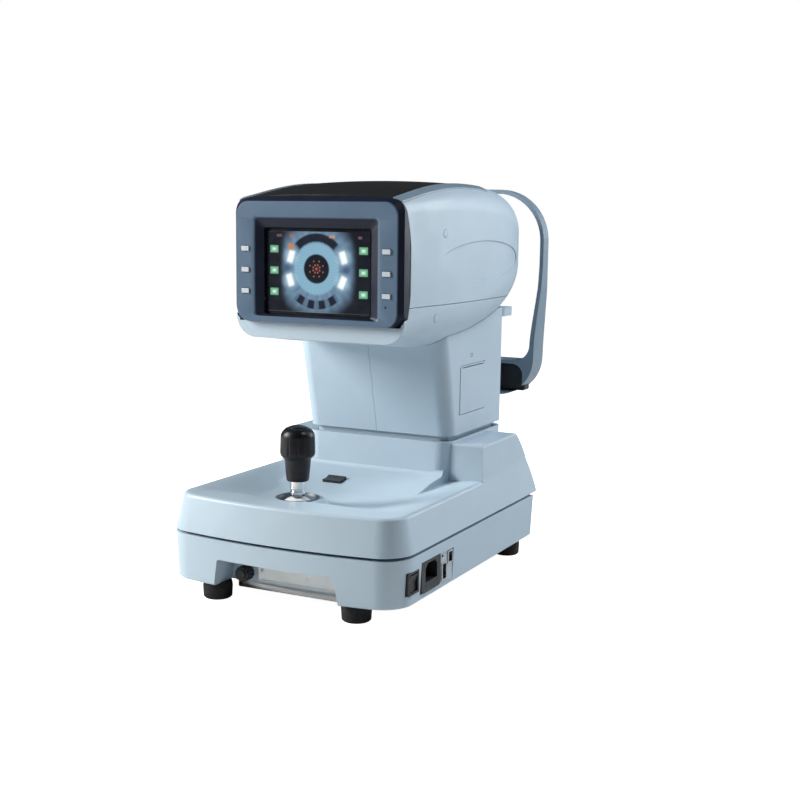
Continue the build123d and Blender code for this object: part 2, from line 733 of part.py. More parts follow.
GRIP_HEAD = 18.0
GRIP_BODY = 13.4
BUTTON_RADIUS = 9.0
BUTTON_BALL = 26.0
with BuildPart() as joystick_grip:
    with BuildSketch(joy_plane):
        with BuildLine():
            Polyline((SHAFT_RADIUS + 0.08, GRIP_LOW), (10.8, GRIP_LOW), (11.6, GRIP_LOW + 1.5))
            Line((11.6, GRIP_LOW + 1.5), (GRIP_BODY, 144))
            Spline((GRIP_BODY, 144), (GRIP_HEAD - 1, 149), (GRIP_HEAD, 154), tangents=[(0.05, 1), (0, 1)])
            Line((GRIP_HEAD, 154), (GRIP_HEAD - 0.6, 169))
            ThreePointArc((GRIP_HEAD - 0.6, 169), (GRIP_HEAD - 3.2, 174.5), (BUTTON_RADIUS + 1.2, 177.5))
            Polyline(
                (BUTTON_RADIUS + 1.2, 177.5),
                (BUTTON_RADIUS + 0.3, 177.5),
                (BUTTON_RADIUS + 0.3, 168),
                (0, 168),
                (0, 150.3),
                (SHAFT_RADIUS + 0.08, 150.3),
                (SHAFT_RADIUS + 0.08, GRIP_LOW),
            )
        make_face()
    revolve(axis=joy_axis)
    with BuildSketch(level(146)):
        with Locations((JOY_X, JOY_Y)):
            with PolarLocations(GRIP_HEAD + 1.6, 12):
                Circle(2.3)
    extrude(amount=24, mode=Mode.SUBTRACT)
joystick_grip.part.label = "joystick_grip"
export_step(joystick_grip.part, "parts/joystick_grip.step")

with BuildPart() as measure_button:
    with BuildSketch(joy_plane):
        with BuildLine():
            rim = (BUTTON_RADIUS, GRIP_TOP - sag(BUTTON_BALL, BUTTON_RADIUS))
            halfway = (BUTTON_RADIUS / 2, GRIP_TOP - sag(BUTTON_BALL, BUTTON_RADIUS / 2))
            Polyline((0, 170.2), (BUTTON_RADIUS, 170.2), rim)
            ThreePointArc(rim, halfway, (0, GRIP_TOP))
            Line((0, GRIP_TOP), (0, 170.2))
        make_face()
    revolve(axis=joy_axis)
measure_button.part.label = "measure_button"
export_step(measure_button.part, "parts/measure_button.step")

with BuildPart() as chin_rocker:
    rocker_side = Plane(origin=ramp_plane.origin, x_dir=ramp_plane.y_dir, z_dir=(1, 0, 0))
    with BuildSketch(rocker_side):
        with Locations((0, -2.2)):
            add(rocker_profile(7.2, 5, 3.8, 4.9))
    extrude(amount=11, both=True)
chin_rocker.part.label = "chin_rocker"
export_step(chin_rocker.part, "parts/chin_rocker.step")

# ------------------------------------------------- lift drive in the collar
LIFT_Y = 115.0
MOTOR_HALF = 21.0
MOTOR_TOP = PLATE_TOP + 32
SCREW_RADIUS = 5.0
ROD_X = 34.0
ROD_RADIUS = 6.0
with BuildPart() as lift_motor:
    add(block(-MOTOR_HALF, MOTOR_HALF, LIFT_Y - MOTOR_HALF, LIFT_Y + MOTOR_HALF, PLATE_TOP, MOTOR_TOP))
    chamfer(lift_motor.edges().filter_by(Axis.Z), 4)
    with Locations(at(0, LIFT_Y, MOTOR_TOP)):
        Cylinder(11, 2, align=UP)
    with Locations(at(0, LIFT_Y, MOTOR_TOP - 10)):
        Cylinder(SCREW_RADIUS + 0.3, 20, align=UP, mode=Mode.SUBTRACT)
lift_motor.part.label = "lift_motor"
export_step(lift_motor.part, "parts/lift_motor.step")

with BuildPart() as lift_screw:
    with Locations(at(0, LIFT_Y, MOTOR_TOP - 9.7)):
        Cylinder(SCREW_RADIUS, 152, align=UP)
    chamfer(lift_screw.faces().sort_by(Axis.Z)[-1].edges(), 1)
    for turn in range(26):
        with Locations(at(0, LIFT_Y, MOTOR_TOP + 6 + 5 * turn)):
            Torus(SCREW_RADIUS + 0.2, 0.6, mode=Mode.SUBTRACT)
lift_screw.part.label = "lift_screw"
export_step(lift_screw.part, "parts/lift_screw.step")

with BuildPart() as guide_rods:
    for side in (-1, 1):
        with Locations(at(side * ROD_X, LIFT_Y, PLATE_TOP)):
            Cylinder(ROD_RADIUS, 172, align=UP)
            Cylinder(12, 10, align=UP)
guide_rods.part.label = "guide_rods"
export_step(guide_rods.part, "parts/guide_rods.step")

# ======================================================================= head
HEAD_SECTIONS = [
    # depth, half width, bottom, top, bottom radius, top radius
    (-101, 97.6, 264.0, 404.5, 20, 13),
    (-20, 104.0, 254.5, 417.0, 40, 24),
    (70, 107.0, 255.0, 422.5, 47, 30),
    (150, 106.0, 268.0, 419.5, 47, 34),
    (206, 99.0, 287.0, 410.0, 45, 38),
    (HEAD_REAR, 84.0, 312.0, 393.0, 34, 33),
]
CROWN = 5.5


def head_section(half, low, high, low_radius, high_radius):
    """One upright slice of the head: flat sides, a crowned top and rounded corners."""
    with BuildSketch(Plane.XY) as face:
        with BuildLine():
            Polyline((-half, high), (-half, low), (half, low), (half, high))
            ThreePointArc((half, high), (0, high + CROWN), (-half, high))
        make_face()
        fillet(face.vertices().group_by(Axis.Y)[0], low_radius)
        fillet(face.vertices().group_by(Axis.Y)[-1], high_radius)
    return face.sketch_local


def head_form(grow):
    """The whole head as one full solid, moved outwards by grow."""
    with BuildPart() as form:
        for place, (y, half, low, high, low_radius, high_radius) in enumerate(HEAD_SECTIONS):
            last = place == len(HEAD_SECTIONS) - 1
            with BuildSketch(across(y + grow * last)):
                radii = (low_radius + grow, high_radius + grow)
                add(head_section(half + grow, low - grow, high + grow, *radii))
        loft()
    return form.part


head_outer = head_form(0)
head_inner = head_form(-WALL)
head_proud = head_form(1.2)
neck_cutter = head_form(GAP)

# ------------------------------------------------- bezel, screen and keys
BEZEL_LOW = 281.0
BEZEL_SKIN = 5.0
BEZEL_SLOPE = 8.0
FACE_HALF = 93.0
FACE_TOP = 403.0
FACE_RADIUS = 14.0
FLANK_RADIUS = 18.0
FLANK_MID_Z = (BEZEL_LOW - 1 + FACE_TOP + 7) / 2
FUNNEL_MID_Z = 338.5
FUNNEL_WIDE = 150.0
FUNNEL_TALL = 105.0
SIGHT_WIDE = 124.0
SIGHT_TALL = 88.0
SHELL_FRONT = -90.2
ZONE_TOP = (-90.5, 405)
ZONE_MIDDLE = (-77.0, 343)
ZONE_LOW = (-94.0, 262)
SCREEN_MID_Z = 332.5
KEY_X = 82.0
KEY_HEIGHTS = (355.5, 333.8, 312.0)


def bezel_zone(grow):
    """The space in front of the shells' curved front edge, moved outwards by grow."""
    low, middle, top = [(y + grow, z) for y, z in (ZONE_LOW, ZONE_MIDDLE, ZONE_TOP)]
    with BuildPart() as zone:
        with BuildSketch(along(-120)):
            with BuildLine():
                ThreePointArc(low, middle, top)
                Polyline(top, (top[0], 440), (-120, 440), (-120, low[1]), low)
            make_face()
        extrude(amount=240)
        with BuildSketch(across(-60)):
            with Locations((0, BEZEL_LOW - grow + 80)):
                RectangleRounded(2 * (98.5 + grow), 160, 11)
        extrude(amount=80, mode=Mode.INTERSECT)
    return zone.part


bezel_space = bezel_zone(GAP)

with BuildPart() as display_bezel:
    add(head_outer)
    add(bezel_zone(0), mode=Mode.INTERSECT)
    add(block(-120, 120, -110, BEZEL_FRONT, 250, 440), mode=Mode.SUBTRACT)
    # the front face is drawn in at the sides and the top, with sloping flanks behind it
    with BuildSketch(across(BEZEL_FRONT)):
        with Locations((0, (BEZEL_LOW + FACE_TOP) / 2)):
            RectangleRounded(2 * FACE_HALF, FACE_TOP - BEZEL_LOW, FACE_RADIUS)
    with BuildSketch(across(BEZEL_FRONT + BEZEL_SLOPE)):
        with Locations((0, FLANK_MID_Z)):
            RectangleRounded(2 * FACE_HALF + 12.4, FACE_TOP - BEZEL_LOW + 8, FLANK_RADIUS)
    with BuildSketch(across(-60)):
        with Locations((0, FLANK_MID_Z)):
            RectangleRounded(2 * FACE_HALF + 24, FACE_TOP - BEZEL_LOW + 20, FLANK_RADIUS)
    loft(ruled=True, mode=Mode.INTERSECT)
    add(block(-90, 90, BEZEL_FRONT + BEZEL_SKIN, -60, 285.5, 399), mode=Mode.SUBTRACT)
    # the funnel that leads down to the screen
    with BuildSketch(across(BEZEL_FRONT - 0.5)):
        with Locations((0, FUNNEL_MID_Z)):
            RectangleRounded(FUNNEL_WIDE, FUNNEL_TALL, 5)
    with BuildSketch(across(BEZEL_FRONT + BEZEL_SKIN + 0.01)):
        with Locations((0, SCREEN_MID_Z + 0.5)):
            RectangleRounded(SIGHT_WIDE, SIGHT_TALL, 2)
    loft(mode=Mode.SUBTRACT)
    with BuildSketch(across(BEZEL_FRONT + 10)):
        for side in (-1, 1):
            for z in KEY_HEIGHTS:
                with Locations((side * KEY_X, z)):
                    RectangleRounded(9.6, 5.6, 0.8)
        with Locations((81, 301)):
            Circle(1.1)
    extrude(amount=20, mode=Mode.SUBTRACT)
display_bezel.part.label = "display_bezel"
export_step(display_bezel.part, "parts/display_bezel.step")

with BuildPart() as lcd_panel:
    add(block(-64, 64, BEZEL_FRONT + BEZEL_SKIN + 3.4, BEZEL_FRONT + BEZEL_SKIN + 8, 287, 379))
    add(block(-60, 60, BEZEL_FRONT + BEZEL_SKIN + 2.8, BEZEL_FRONT + BEZEL_SKIN + 3.4, 291.5, 374))
    add(block(-66, 66, BEZEL_FRONT + BEZEL_SKIN + 8, BEZEL_FRONT + BEZEL_SKIN + 9.6, 286, 392))
lcd_panel.part.label = "lcd_panel"
export_step(lcd_panel.part, "parts/lcd_panel.step")

KEY_NAMES = ("upper", "middle", "lower")
for side, side_name in ((-1, "left"), (1, "right")):
    for z, key_name in zip(KEY_HEIGHTS, KEY_NAMES):
        node = f"key_{side_name}_{key_name}"
        with BuildPart() as key:
            with BuildSketch(across(BEZEL_FRONT + BEZEL_SKIN + 0.3)):
                with Locations((side * KEY_X, z)):
                    RectangleRounded(9, 5, 0.7)
            extrude(amount=BEZEL_SKIN + 1.7)
            fillet(key.faces().sort_by(Axis.Y)[0].edges(), 0.5)
            with BuildSketch(across(BEZEL_FRONT + BEZEL_SKIN + 1.8)):
                with Locations((side * KEY_X, z)):
                    Rectangle(11.4, 7.4)
            extrude(amount=1.5)
        key.part.label = node
        export_step(key.part, f"parts/{node}.step")

# ------------------------------------------------- shells
NECK_MOUTH = (-72, 72, 30, 182)
WINDOW_RADIUS = 33.0
with BuildPart() as head_skin:
    add(head_outer)
    add(head_inner, mode=Mode.SUBTRACT)
    add(block(-110, 110, -110, SHELL_FRONT, 250, 440), mode=Mode.SUBTRACT)
    add(bezel_space, mode=Mode.SUBTRACT)
    with BuildSketch(across(HEAD_REAR + 5)):
        with Locations((0, EYE_Z)):
            Circle(WINDOW_RADIUS + 0.2)
    extrude(amount=20, mode=Mode.SUBTRACT)

with BuildPart() as front_lip:
    add(head_outer)
    add(block(-96, 96, SHELL_FRONT, SHELL_FRONT + WALL, 250, BEZEL_LOW - 0.5), mode=Mode.INTERSECT)

SHELF_TOP = 284.0
PATIENT_SHELF_REAR = 219.0
with BuildPart() as patient_shelf:
    with BuildSketch(level(SHELF_TOP - 10)):
        with Locations((0, (NECK_REAR + GAP + PATIENT_SHELF_REAR) / 2)):
            RectangleRounded(2 * 90, PATIENT_SHELF_REAR - NECK_REAR - GAP, 7)
    extrude(amount=10)
    add(head_inner, mode=Mode.SUBTRACT)

with BuildPart() as lower_shell:
    add(head_skin.part)
    add(front_lip.part)
    add(patient_shelf.part)
    add(block(-120, 120, -120, 260, SEAM_Z - 0.3, 440), mode=Mode.SUBTRACT)
    x0, x1, y0, y1 = NECK_MOUTH
    add(block(x0, x1, y0, y1, 240, 290), mode=Mode.SUBTRACT)
lower_shell.part.label = "lower_shell"
export_step(lower_shell.part, "parts/lower_shell.step")

SHELL_TOP_HALF = COVER_HALF + RAIL_WIDTH
# a shallow oval sunk into each side
with BuildPart() as side_relief:
    with BuildSketch(along(-120)):
        with Locations((88, 343)):
            Ellipse(106, 21.5)
    extrude(amount=240)
    add(head_form(-1.0), mode=Mode.SUBTRACT)
for side, side_name in ((-1, "left"), (1, "right")):
    with BuildPart() as side_shell:
        add(head_skin.part)
        add(block(-120, 120, -120, 260, 240, SEAM_Z + 0.3), mode=Mode.SUBTRACT)
        add(block(-SHELL_TOP_HALF, SHELL_TOP_HALF, -120, COVER_REAR + GAP, 385, 440), mode=Mode.SUBTRACT)
        far = (-120, 0.15) if side > 0 else (-0.15, 120)
        add(block(*far, -120, 260, 240, 440), mode=Mode.SUBTRACT)
        add(side_relief.part, mode=Mode.SUBTRACT)
    node = f"{side_name}_shell"
    side_shell.part.label = node
    export_step(side_shell.part, f"parts/{node}.step")

with BuildPart() as top_cover:
    add(head_skin.part)
    add(block(-COVER_HALF + 0.2, COVER_HALF - 0.2, -120, COVER_REAR, 385, 440), mode=Mode.INTERSECT)
top_cover.part.label = "top_cover"
export_step(top_cover.part, "parts/top_cover.step")

with BuildPart() as trim_rails:
    add(head_proud)
    add(head_inner, mode=Mode.SUBTRACT)
    add(bezel_space, mode=Mode.SUBTRACT)
    add(block(-SHELL_TOP_HALF + 0.2, SHELL_TOP_HALF - 0.2, -96, COVER_REAR, 385, 440), mode=Mode.INTERSECT)
    add(block(-COVER_HALF, COVER_HALF, -120, COVER_REAR + 5, 385, 440), mode=Mode.SUBTRACT)
trim_rails.part.label = "trim_rails"
export_step(trim_rails.part, "parts/trim_rails.step")

# ------------------------------------------------- neck
NECK_LEAN = 22.0 / 95.0
DOOR_Y = (64.0, 132.0)
DOOR_Z = (173.0, 227.0)
DOOR_X = 91.2
DOOR_SKIN = 2.8
HINGE_X = DOOR_X - DOOR_SKIN / 2
HINGE_Z = DOOR_Z[0] + DOOR_SKIN / 2


def neck_form(inset):
    """The neck as one full solid that leans forward, moved inwards by inset."""
    with BuildPart() as form:
        for z in (NECK_BOTTOM - 5 * (inset > 0), 330.0):
            front = 41.0 - NECK_LEAN * (z - NECK_BOTTOM) + inset
            half = NECK_HALF + 0.5 * (z - NECK_BOTTOM) / 100 - inset
            with BuildSketch(level(z)) as slice:
                with Locations((0, (front + NECK_REAR - inset) / 2)):
                    Rectangle(2 * half, NECK_REAR - inset - front)
                fillet(slice.vertices().group_by(Axis.Y)[0], 17 - inset)
                fillet(slice.vertices().group_by(Axis.Y)[-1], 7 - inset)
        loft()
    return form.part


neck_outer = neck_form(0)
neck_inner = neck_form(WALL)
for side, side_name in ((-1, "left"), (1, "right")):
    with BuildPart() as neck_half:
        add(neck_outer)
        add(neck_inner, mode=Mode.SUBTRACT)
        add(neck_cutter, mode=Mode.SUBTRACT)
        add(block(-120, 120, -60, 260, 285, 440), mode=Mode.SUBTRACT)
        far = (-120, 0.15) if side > 0 else (-0.15, 120)
        add(block(*far, -60, 260, 140, 340), mode=Mode.SUBTRACT)
        if side > 0:
            low_y, high_y = DOOR_Y
            low_z, high_z = DOOR_Z
            add(block(80, 100, low_y - 0.5, high_y + 0.5, low_z - 0.3, high_z + 0.6), mode=Mode.SUBTRACT)
            with BuildSketch(across(high_y + 2.6)):
                with Locations((HINGE_X, HINGE_Z)):
                    Circle(0.98)
            extrude(amount=high_y - low_y + 5.2, mode=Mode.SUBTRACT)
    node = f"neck_cover_{side_name}"
    neck_half.part.label = node
    export_step(neck_half.part, f"parts/{node}.step")

with BuildPart() as printer_door:
    low_y, high_y = DOOR_Y
    with BuildSketch(across(high_y)):
        with BuildLine():
            ThreePointArc(
                (HINGE_X - DOOR_SKIN / 2, HINGE_Z),
                (HINGE_X, DOOR_Z[0]),
                (DOOR_X, HINGE_Z),
            )
            Polyline(
                (DOOR_X, HINGE_Z),
                (DOOR_X + 0.2, DOOR_Z[1] - 1),
                (DOOR_X - 0.8, DOOR_Z[1]),
                (DOOR_X - DOOR_SKIN, DOOR_Z[1]),
                (HINGE_X - DOOR_SKIN / 2, HINGE_Z),
            )
        make_face()
    extrude(amount=high_y - low_y)
    with BuildSketch(across(high_y + 2.2)):
        with Locations((HINGE_X, HINGE_Z)):
            Circle(0.9)
    extrude(amount=high_y - low_y + 4.4)
    # the paper slot along the door's upper edge
    slot_z = DOOR_Z[1] - 2.6
    add(block(85, 95, low_y + 5, high_y - 5, slot_z, slot_z + 1.2), mode=Mode.SUBTRACT)
printer_door.part.label = "printer_door"
export_step(printer_door.part, "parts/printer_door.step")

ROLL_X = 66.5
ROLL_Z = 199.0
ROLL_RADIUS = 19.5
BAY_X = (43.0, 86.6)
with BuildPart() as printer_frame:
    low_y, high_y = DOOR_Y
    add(block(*BAY_X, low_y + 0.5, high_y - 0.5, 170, 238))
    add(block(BAY_X[0] + 3, 90, low_y + 3.5, high_y - 3.5, 173, 227), mode=Mode.SUBTRACT)
    # the printing head and its platen above the roll
    add(block(BAY_X[0] + 4, BAY_X[1] - 6, low_y + 8, high_y - 8, 229, 250))
    for inner_y, outer_y in ((low_y + 3.5, low_y + 6.5), (high_y - 6.5, high_y - 3.5)):
        with BuildSketch(across(outer_y)):
            with Locations((ROLL_X, ROLL_Z)):
                Circle(5.6)
        extrude(amount=outer_y - inner_y)
printer_frame.part.label = "printer_frame"
export_step(printer_frame.part, "parts/printer_frame.step")

with BuildPart() as paper_roll:
    low_y, high_y = DOOR_Y
    with BuildSketch(across(high_y - 4.2)):
        with Locations((ROLL_X, ROLL_Z)):
            Circle(ROLL_RADIUS)
            Circle(6.0, mode=Mode.SUBTRACT)
    extrude(amount=high_y - low_y - 8.4)
paper_roll.part.label = "paper_roll"
export_step(paper_roll.part, "parts/paper_roll.step")

# ------------------------------------------------- inside the neck and head
SLEEVE_LOW = 112.0
SLEEVE_HIGH = 158.0
with BuildPart() as inner_sleeve:
    with BuildSketch(level(SLEEVE_LOW)):
        add(collar_outline(SLEEVE_HALF, SLEEVE_FRONT, SLEEVE_REAR - 5, 12))
        offset(amount=-2.5, mode=Mode.SUBTRACT)
    extrude(amount=SLEEVE_HIGH - SLEEVE_LOW)
inner_sleeve.part.label = "inner_sleeve"
export_step(inner_sleeve.part, "parts/inner_sleeve.step")

SHELF_Z = 262.0
BARREL_RADIUS = 36.0
CRADLES = (30.0, 150.0)
with BuildPart() as head_chassis:
    add(block(-84, 84, 50, 182, SLEEVE_HIGH, SLEEVE_HIGH + 6))
    add(block(-56, 42, 160, 166, SLEEVE_HIGH + 6, SHELF_Z))
    add(block(-66, 66, 0, 166, SHELF_Z, SHELF_Z + 6))
    for y in CRADLES:
        add(block(-34, 34, y, y + 6, SHELF_Z + 6, EYE_Z - 12))
    with Locations(at(0, LIFT_Y, SLEEVE_HIGH)):
        Cylinder(11, 22, align=UP)
    with Locations(*[at(x, LIFT_Y, SLEEVE_HIGH) for x in (-ROD_X, ROD_X)]):
        Cylinder(8.5, 26, align=UP)
    with Locations(at(0, LIFT_Y, 140)):
        Cylinder(SCREW_RADIUS + 0.35, 60, align=UP, mode=Mode.SUBTRACT)
    with Locations(*[at(x, LIFT_Y, 140) for x in (-ROD_X, ROD_X)]):
        Cylinder(ROD_RADIUS + 0.06, 60, align=UP, mode=Mode.SUBTRACT)
    with BuildSketch(across(240)):
        with Locations((0, EYE_Z)):
            Circle(BARREL_RADIUS)
    extrude(amount=300, mode=Mode.SUBTRACT)
head_chassis.part.label = "head_chassis"
export_step(head_chassis.part, "parts/head_chassis.step")

with BuildPart() as optical_barrel:
    with BuildSketch(Plane(origin=at(0, 0, EYE_Z), x_dir=(0, 1, 0), z_dir=(1, 0, 0))):
        with BuildLine():
            Polyline(
                (-40, 0), (-40, 20), (-20, 20), (-20, BARREL_RADIUS), (190, BARREL_RADIUS),
                (196, 28), (226, 28), (226, 23), (190, 23), (184, 14), (0, 14), (0, 0), (-40, 0),
            )
        make_face()
    revolve(axis=Axis(at(0, 0, EYE_Z), (0, 1, 0)))
optical_barrel.part.label = "optical_barrel"
export_step(optical_barrel.part, "parts/optical_barrel.step")

LENS_RADIUS = 22.9
LENS_BALL = 50.0
LENS_BACK = 205.0
LENS_FRONT = 216.5
with BuildPart() as objective_lens:
    with BuildSketch(Plane(origin=at(0, 0, EYE_Z), x_dir=(0, 1, 0), z_dir=(1, 0, 0))):
        with BuildLine():
            rim = (LENS_FRONT - sag(LENS_BALL, LENS_RADIUS), LENS_RADIUS)
            halfway = (LENS_FRONT - sag(LENS_BALL, LENS_RADIUS / 2), LENS_RADIUS / 2)
            Polyline((LENS_FRONT, 0), (LENS_BACK, 0), (LENS_BACK, LENS_RADIUS), rim)
            ThreePointArc(rim, halfway, (LENS_FRONT, 0))
        make_face()
    revolve(axis=Axis(at(0, 0, EYE_Z), (0, 1, 0)))
objective_lens.part.label = "objective_lens"
export_step(objective_lens.part, "parts/objective_lens.step")

with BuildPart() as window_ring:
    with BuildSketch(Plane(origin=at(0, 0, EYE_Z), x_dir=(0, 1, 0), z_dir=(1, 0, 0))):
        with BuildLine():
            Polyline(
                (HEAD_REAR - 5, 26), (HEAD_REAR - 5, WINDOW_RADIUS), (HEAD_REAR, WINDOW_RADIUS),
                (HEAD_REAR, WINDOW_RADIUS + 2), (HEAD_REAR + 2.5, WINDOW_RADIUS + 1), (HEAD_REAR + 4.5, 27),
                (HEAD_REAR + 1, 25), (HEAD_REAR + 1, 26), (HEAD_REAR - 5, 26),
            )
        make_face()
    revolve(axis=Axis(at(0, 0, EYE_Z), (0, 1, 0)))
window_ring.part.label = "window_ring"
export_step(window_ring.part, "parts/window_ring.step")

with BuildPart() as window_glass:
    with BuildSketch(across(HEAD_REAR + 0.8)):
        with Locations((0, EYE_Z)):
            Circle(25.9)
    extrude(amount=2.4)
window_glass.part.label = "window_glass"
export_step(window_glass.part, "parts/window_glass.step")

# ======================================================================= patient side
FRAME_UPPER_FRONT = 262.0
FRAME_LOWER_FRONT = 243.0
STEM_HOLE = 9.4
CHIN_SCREW_RADIUS = 3.5
CHIN_REST_Z = 217.5
COLUMN_WALL = 3.0


def frame_loop(half, low_half, low, high, low_radius, high_radius):
    """The face frame's outline: upright posts that lean in towards the bottom."""
    with BuildSketch(Plane.XY) as face:
        with BuildLine():
            Polyline(
                (-low_half, low), (low_half, low), (half, 305), (half, high),
                (-half, high), (-half, 305), (-low_half, low),
            )
        make_face()
        fillet(face.vertices().group_by(Axis.Y)[0], low_radius)
        fillet(face.vertices().group_by(Axis.Y)[-1], high_radius)
    return face.sketch_local


with BuildPart() as face_frame:
    with BuildSketch(across(FRAME_REAR)):
        add(frame_loop(FRAME_HALF, FRAME_HALF - 4, FRAME_BOTTOM, FRAME_TOP, 46, 62))
    extrude(amount=40)
    with BuildSketch(across(FRAME_REAR + 1)):
        add(frame_loop(FRAME_HALF - 4.5, FRAME_HALF - 9, FRAME_CROSS_TOP, FRAME_TOP - 5, 20, 57))
    extrude(amount=45, mode=Mode.SUBTRACT)
    # the loop is deeper at the bottom than at the top
    with BuildSketch(along(-120)):
        with BuildLine():
            Polyline((FRAME_REAR, 440), (FRAME_UPPER_FRONT, 440), (FRAME_UPPER_FRONT, 345))
            Spline(
                (FRAME_UPPER_FRONT, 345), (252, 282), (FRAME_LOWER_FRONT, 240),
                tangents=[(0, -1), (-0.1, -1)],
            )
            Polyline(
                (FRAME_LOWER_FRONT, 240), (FRAME_LOWER_FRONT, 160), (FRAME_REAR - 3, 160),
                (FRAME_REAR - 3, 240), (FRAME_REAR, 300), (FRAME_REAR, 440),
            )
        make_face()
    extrude(amount=240, mode=Mode.INTERSECT)
    # the channel in the operator's side of the lower cross
    with BuildSketch(across(FRAME_REAR - 8)):
        with Locations((0, (FRAME_BOTTOM + FRAME_CROSS_TOP) / 2)):
            RectangleRounded(188, FRAME_CROSS_TOP - FRAME_BOTTOM - 8, 14)
    extrude(amount=60, mode=Mode.SUBTRACT)
    add(block(-20, 20, FRAME_LOWER_FRONT, FRAME_REAR - 6, FRAME_BOTTOM, FRAME_CROSS_TOP))
    for side in (-1, 1):
        add(block(side * 58 - 1.5, side * 58 + 1.5, FRAME_LOWER_FRONT + 4, FRAME_REAR - 6, 176, 213))
    with Locations(at(0, CHIN_Y, FRAME_BOTTOM - 5)):
        Cylinder(STEM_HOLE, 60, align=UP, mode=Mode.SUBTRACT)
face_frame.part.label = "face_frame"
export_step(face_frame.part, "parts/face_frame.step")

with BuildPart() as frame_column:
    with BuildSketch(along(-ARM_HALF)) as column_side:
        with BuildLine():
            Polyline(
                (150, ARM_LOW), (FRAME_REAR - 3, ARM_LOW), (FRAME_REAR - 3, FRAME_BOTTOM),
                (FRAME_LOWER_FRONT, FRAME_BOTTOM), (FRAME_LOWER_FRONT, ARM_TOP), (150, ARM_TOP),
                (150, ARM_LOW),
            )
        make_face()
        outer_corner = column_side.vertices().group_by(Axis.X)[-1].sort_by(Axis.Y)[0]
        fillet(outer_corner, 24)
        inner_corner = column_side.vertices().group_by(Axis.X)[1].sort_by(Axis.Y)[0]
        fillet(inner_corner, 12)
    extrude(amount=2 * ARM_HALF)
    fillet(frame_column.edges().filter_by(Axis.Z).filter_by_position(Axis.Y, BASE_Y + 200, BASE_Y + 300), 5)
    # the room for the chin rest's drive
    inside = ARM_HALF - COLUMN_WALL
    add(
        block(
            -inside, inside, FRAME_LOWER_FRONT + COLUMN_WALL, FRAME_REAR - 3 - COLUMN_WALL, 60,
            FRAME_BOTTOM - COLUMN_WALL,
        ),
        mode=Mode.SUBTRACT,
    )
    with Locations(at(0, CHIN_Y, FRAME_BOTTOM - 10)):
        Cylinder(STEM_HOLE, 20, align=UP, mode=Mode.SUBTRACT)
frame_column.part.label = "frame_column"
export_step(frame_column.part, "parts/frame_column.step")

CHIN_MOTOR_Z = 62.0
with BuildPart() as chin_lift_motor:
    with Locations(at(0, CHIN_Y, CHIN_MOTOR_Z)):
        Cylinder(12, 30, align=UP)
    inside = ARM_HALF - COLUMN_WALL
    mount = (FRAME_LOWER_FRONT + COLUMN_WALL, FRAME_REAR - 3 - COLUMN_WALL)
    add(block(-inside, inside, *mount, CHIN_MOTOR_Z + 30, CHIN_MOTOR_Z + 33))
    with Locations(at(0, CHIN_Y, CHIN_MOTOR_Z + 24)):
        Cylinder(CHIN_SCREW_RADIUS + 0.3, 20, align=UP, mode=Mode.SUBTRACT)
chin_lift_motor.part.label = "chin_lift_motor"
export_step(chin_lift_motor.part, "parts/chin_lift_motor.step")

STEM_OUTER = STEM_HOLE - 0.4
with BuildPart() as chin_lift_screw:
    with Locations(at(0, CHIN_Y, CHIN_MOTOR_Z + 24.3)):
        Cylinder(CHIN_SCREW_RADIUS, 118, align=UP)
    for turn in range(26):
        with Locations(at(0, CHIN_Y, CHIN_MOTOR_Z + 38 + 4 * turn)):
            Torus(CHIN_SCREW_RADIUS + 0.2, 0.5, mode=Mode.SUBTRACT)
chin_lift_screw.part.label = "chin_lift_screw"
export_step(chin_lift_screw.part, "parts/chin_lift_screw.step")

with BuildPart() as chin_stem:
    with Locations(at(0, CHIN_Y, 104)):
        Cylinder(STEM_OUTER, CHIN_REST_Z - 104, align=UP)
        Cylinder(CHIN_SCREW_RADIUS + 0.35, CHIN_REST_Z - 110, align=UP, mode=Mode.SUBTRACT)
chin_stem.part.label = "chin_stem"
export_step(chin_stem.part, "parts/chin_stem.step")

with BuildPart() as chin_cup:
    with BuildSketch(level(CHIN_REST_Z)):
        with Locations((0, CHIN_Y)):
            Rectangle(52, 30)
    with BuildSketch(level(CHIN_REST_Z + 22)):
        with Locations((0, CHIN_Y)):
            Rectangle(78, 37)
    loft()
    fillet(chin_cup.edges().filter_by(lambda edge: abs(edge.tangent_at(0.5).Z) > 0.6), 9)
    with BuildSketch(across(CHIN_Y + 30)):
        with Locations((0, CHIN_REST_Z + 58)):
            Circle(48)
    extrude(amount=60, mode=Mode.SUBTRACT)
    for side in (-1, 1):
        with Locations(at(side * 35, CHIN_Y - 10, CHIN_REST_Z + 10)):
            Cylinder(1.53, 20, align=UP, mode=Mode.SUBTRACT)
chin_cup.part.label = "chin_cup"
export_step(chin_cup.part, "parts/chin_cup.step")

with BuildPart() as forehead_rest:
    with BuildSketch(across(FRAME_REAR)):
        with BuildLine():
            Polyline((-46, 403), (-48, FRAME_TOP - 5), (48, FRAME_TOP - 5), (46, 403))
            ThreePointArc((46, 403), (0, 396), (-46, 403))
        make_face()
    extrude(amount=15)
forehead_rest.part.label = "forehead_rest"
export_step(forehead_rest.part, "parts/forehead_rest.step")
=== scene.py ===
import json
import math

import bmesh
import bpy
from mathutils import Matrix, Vector


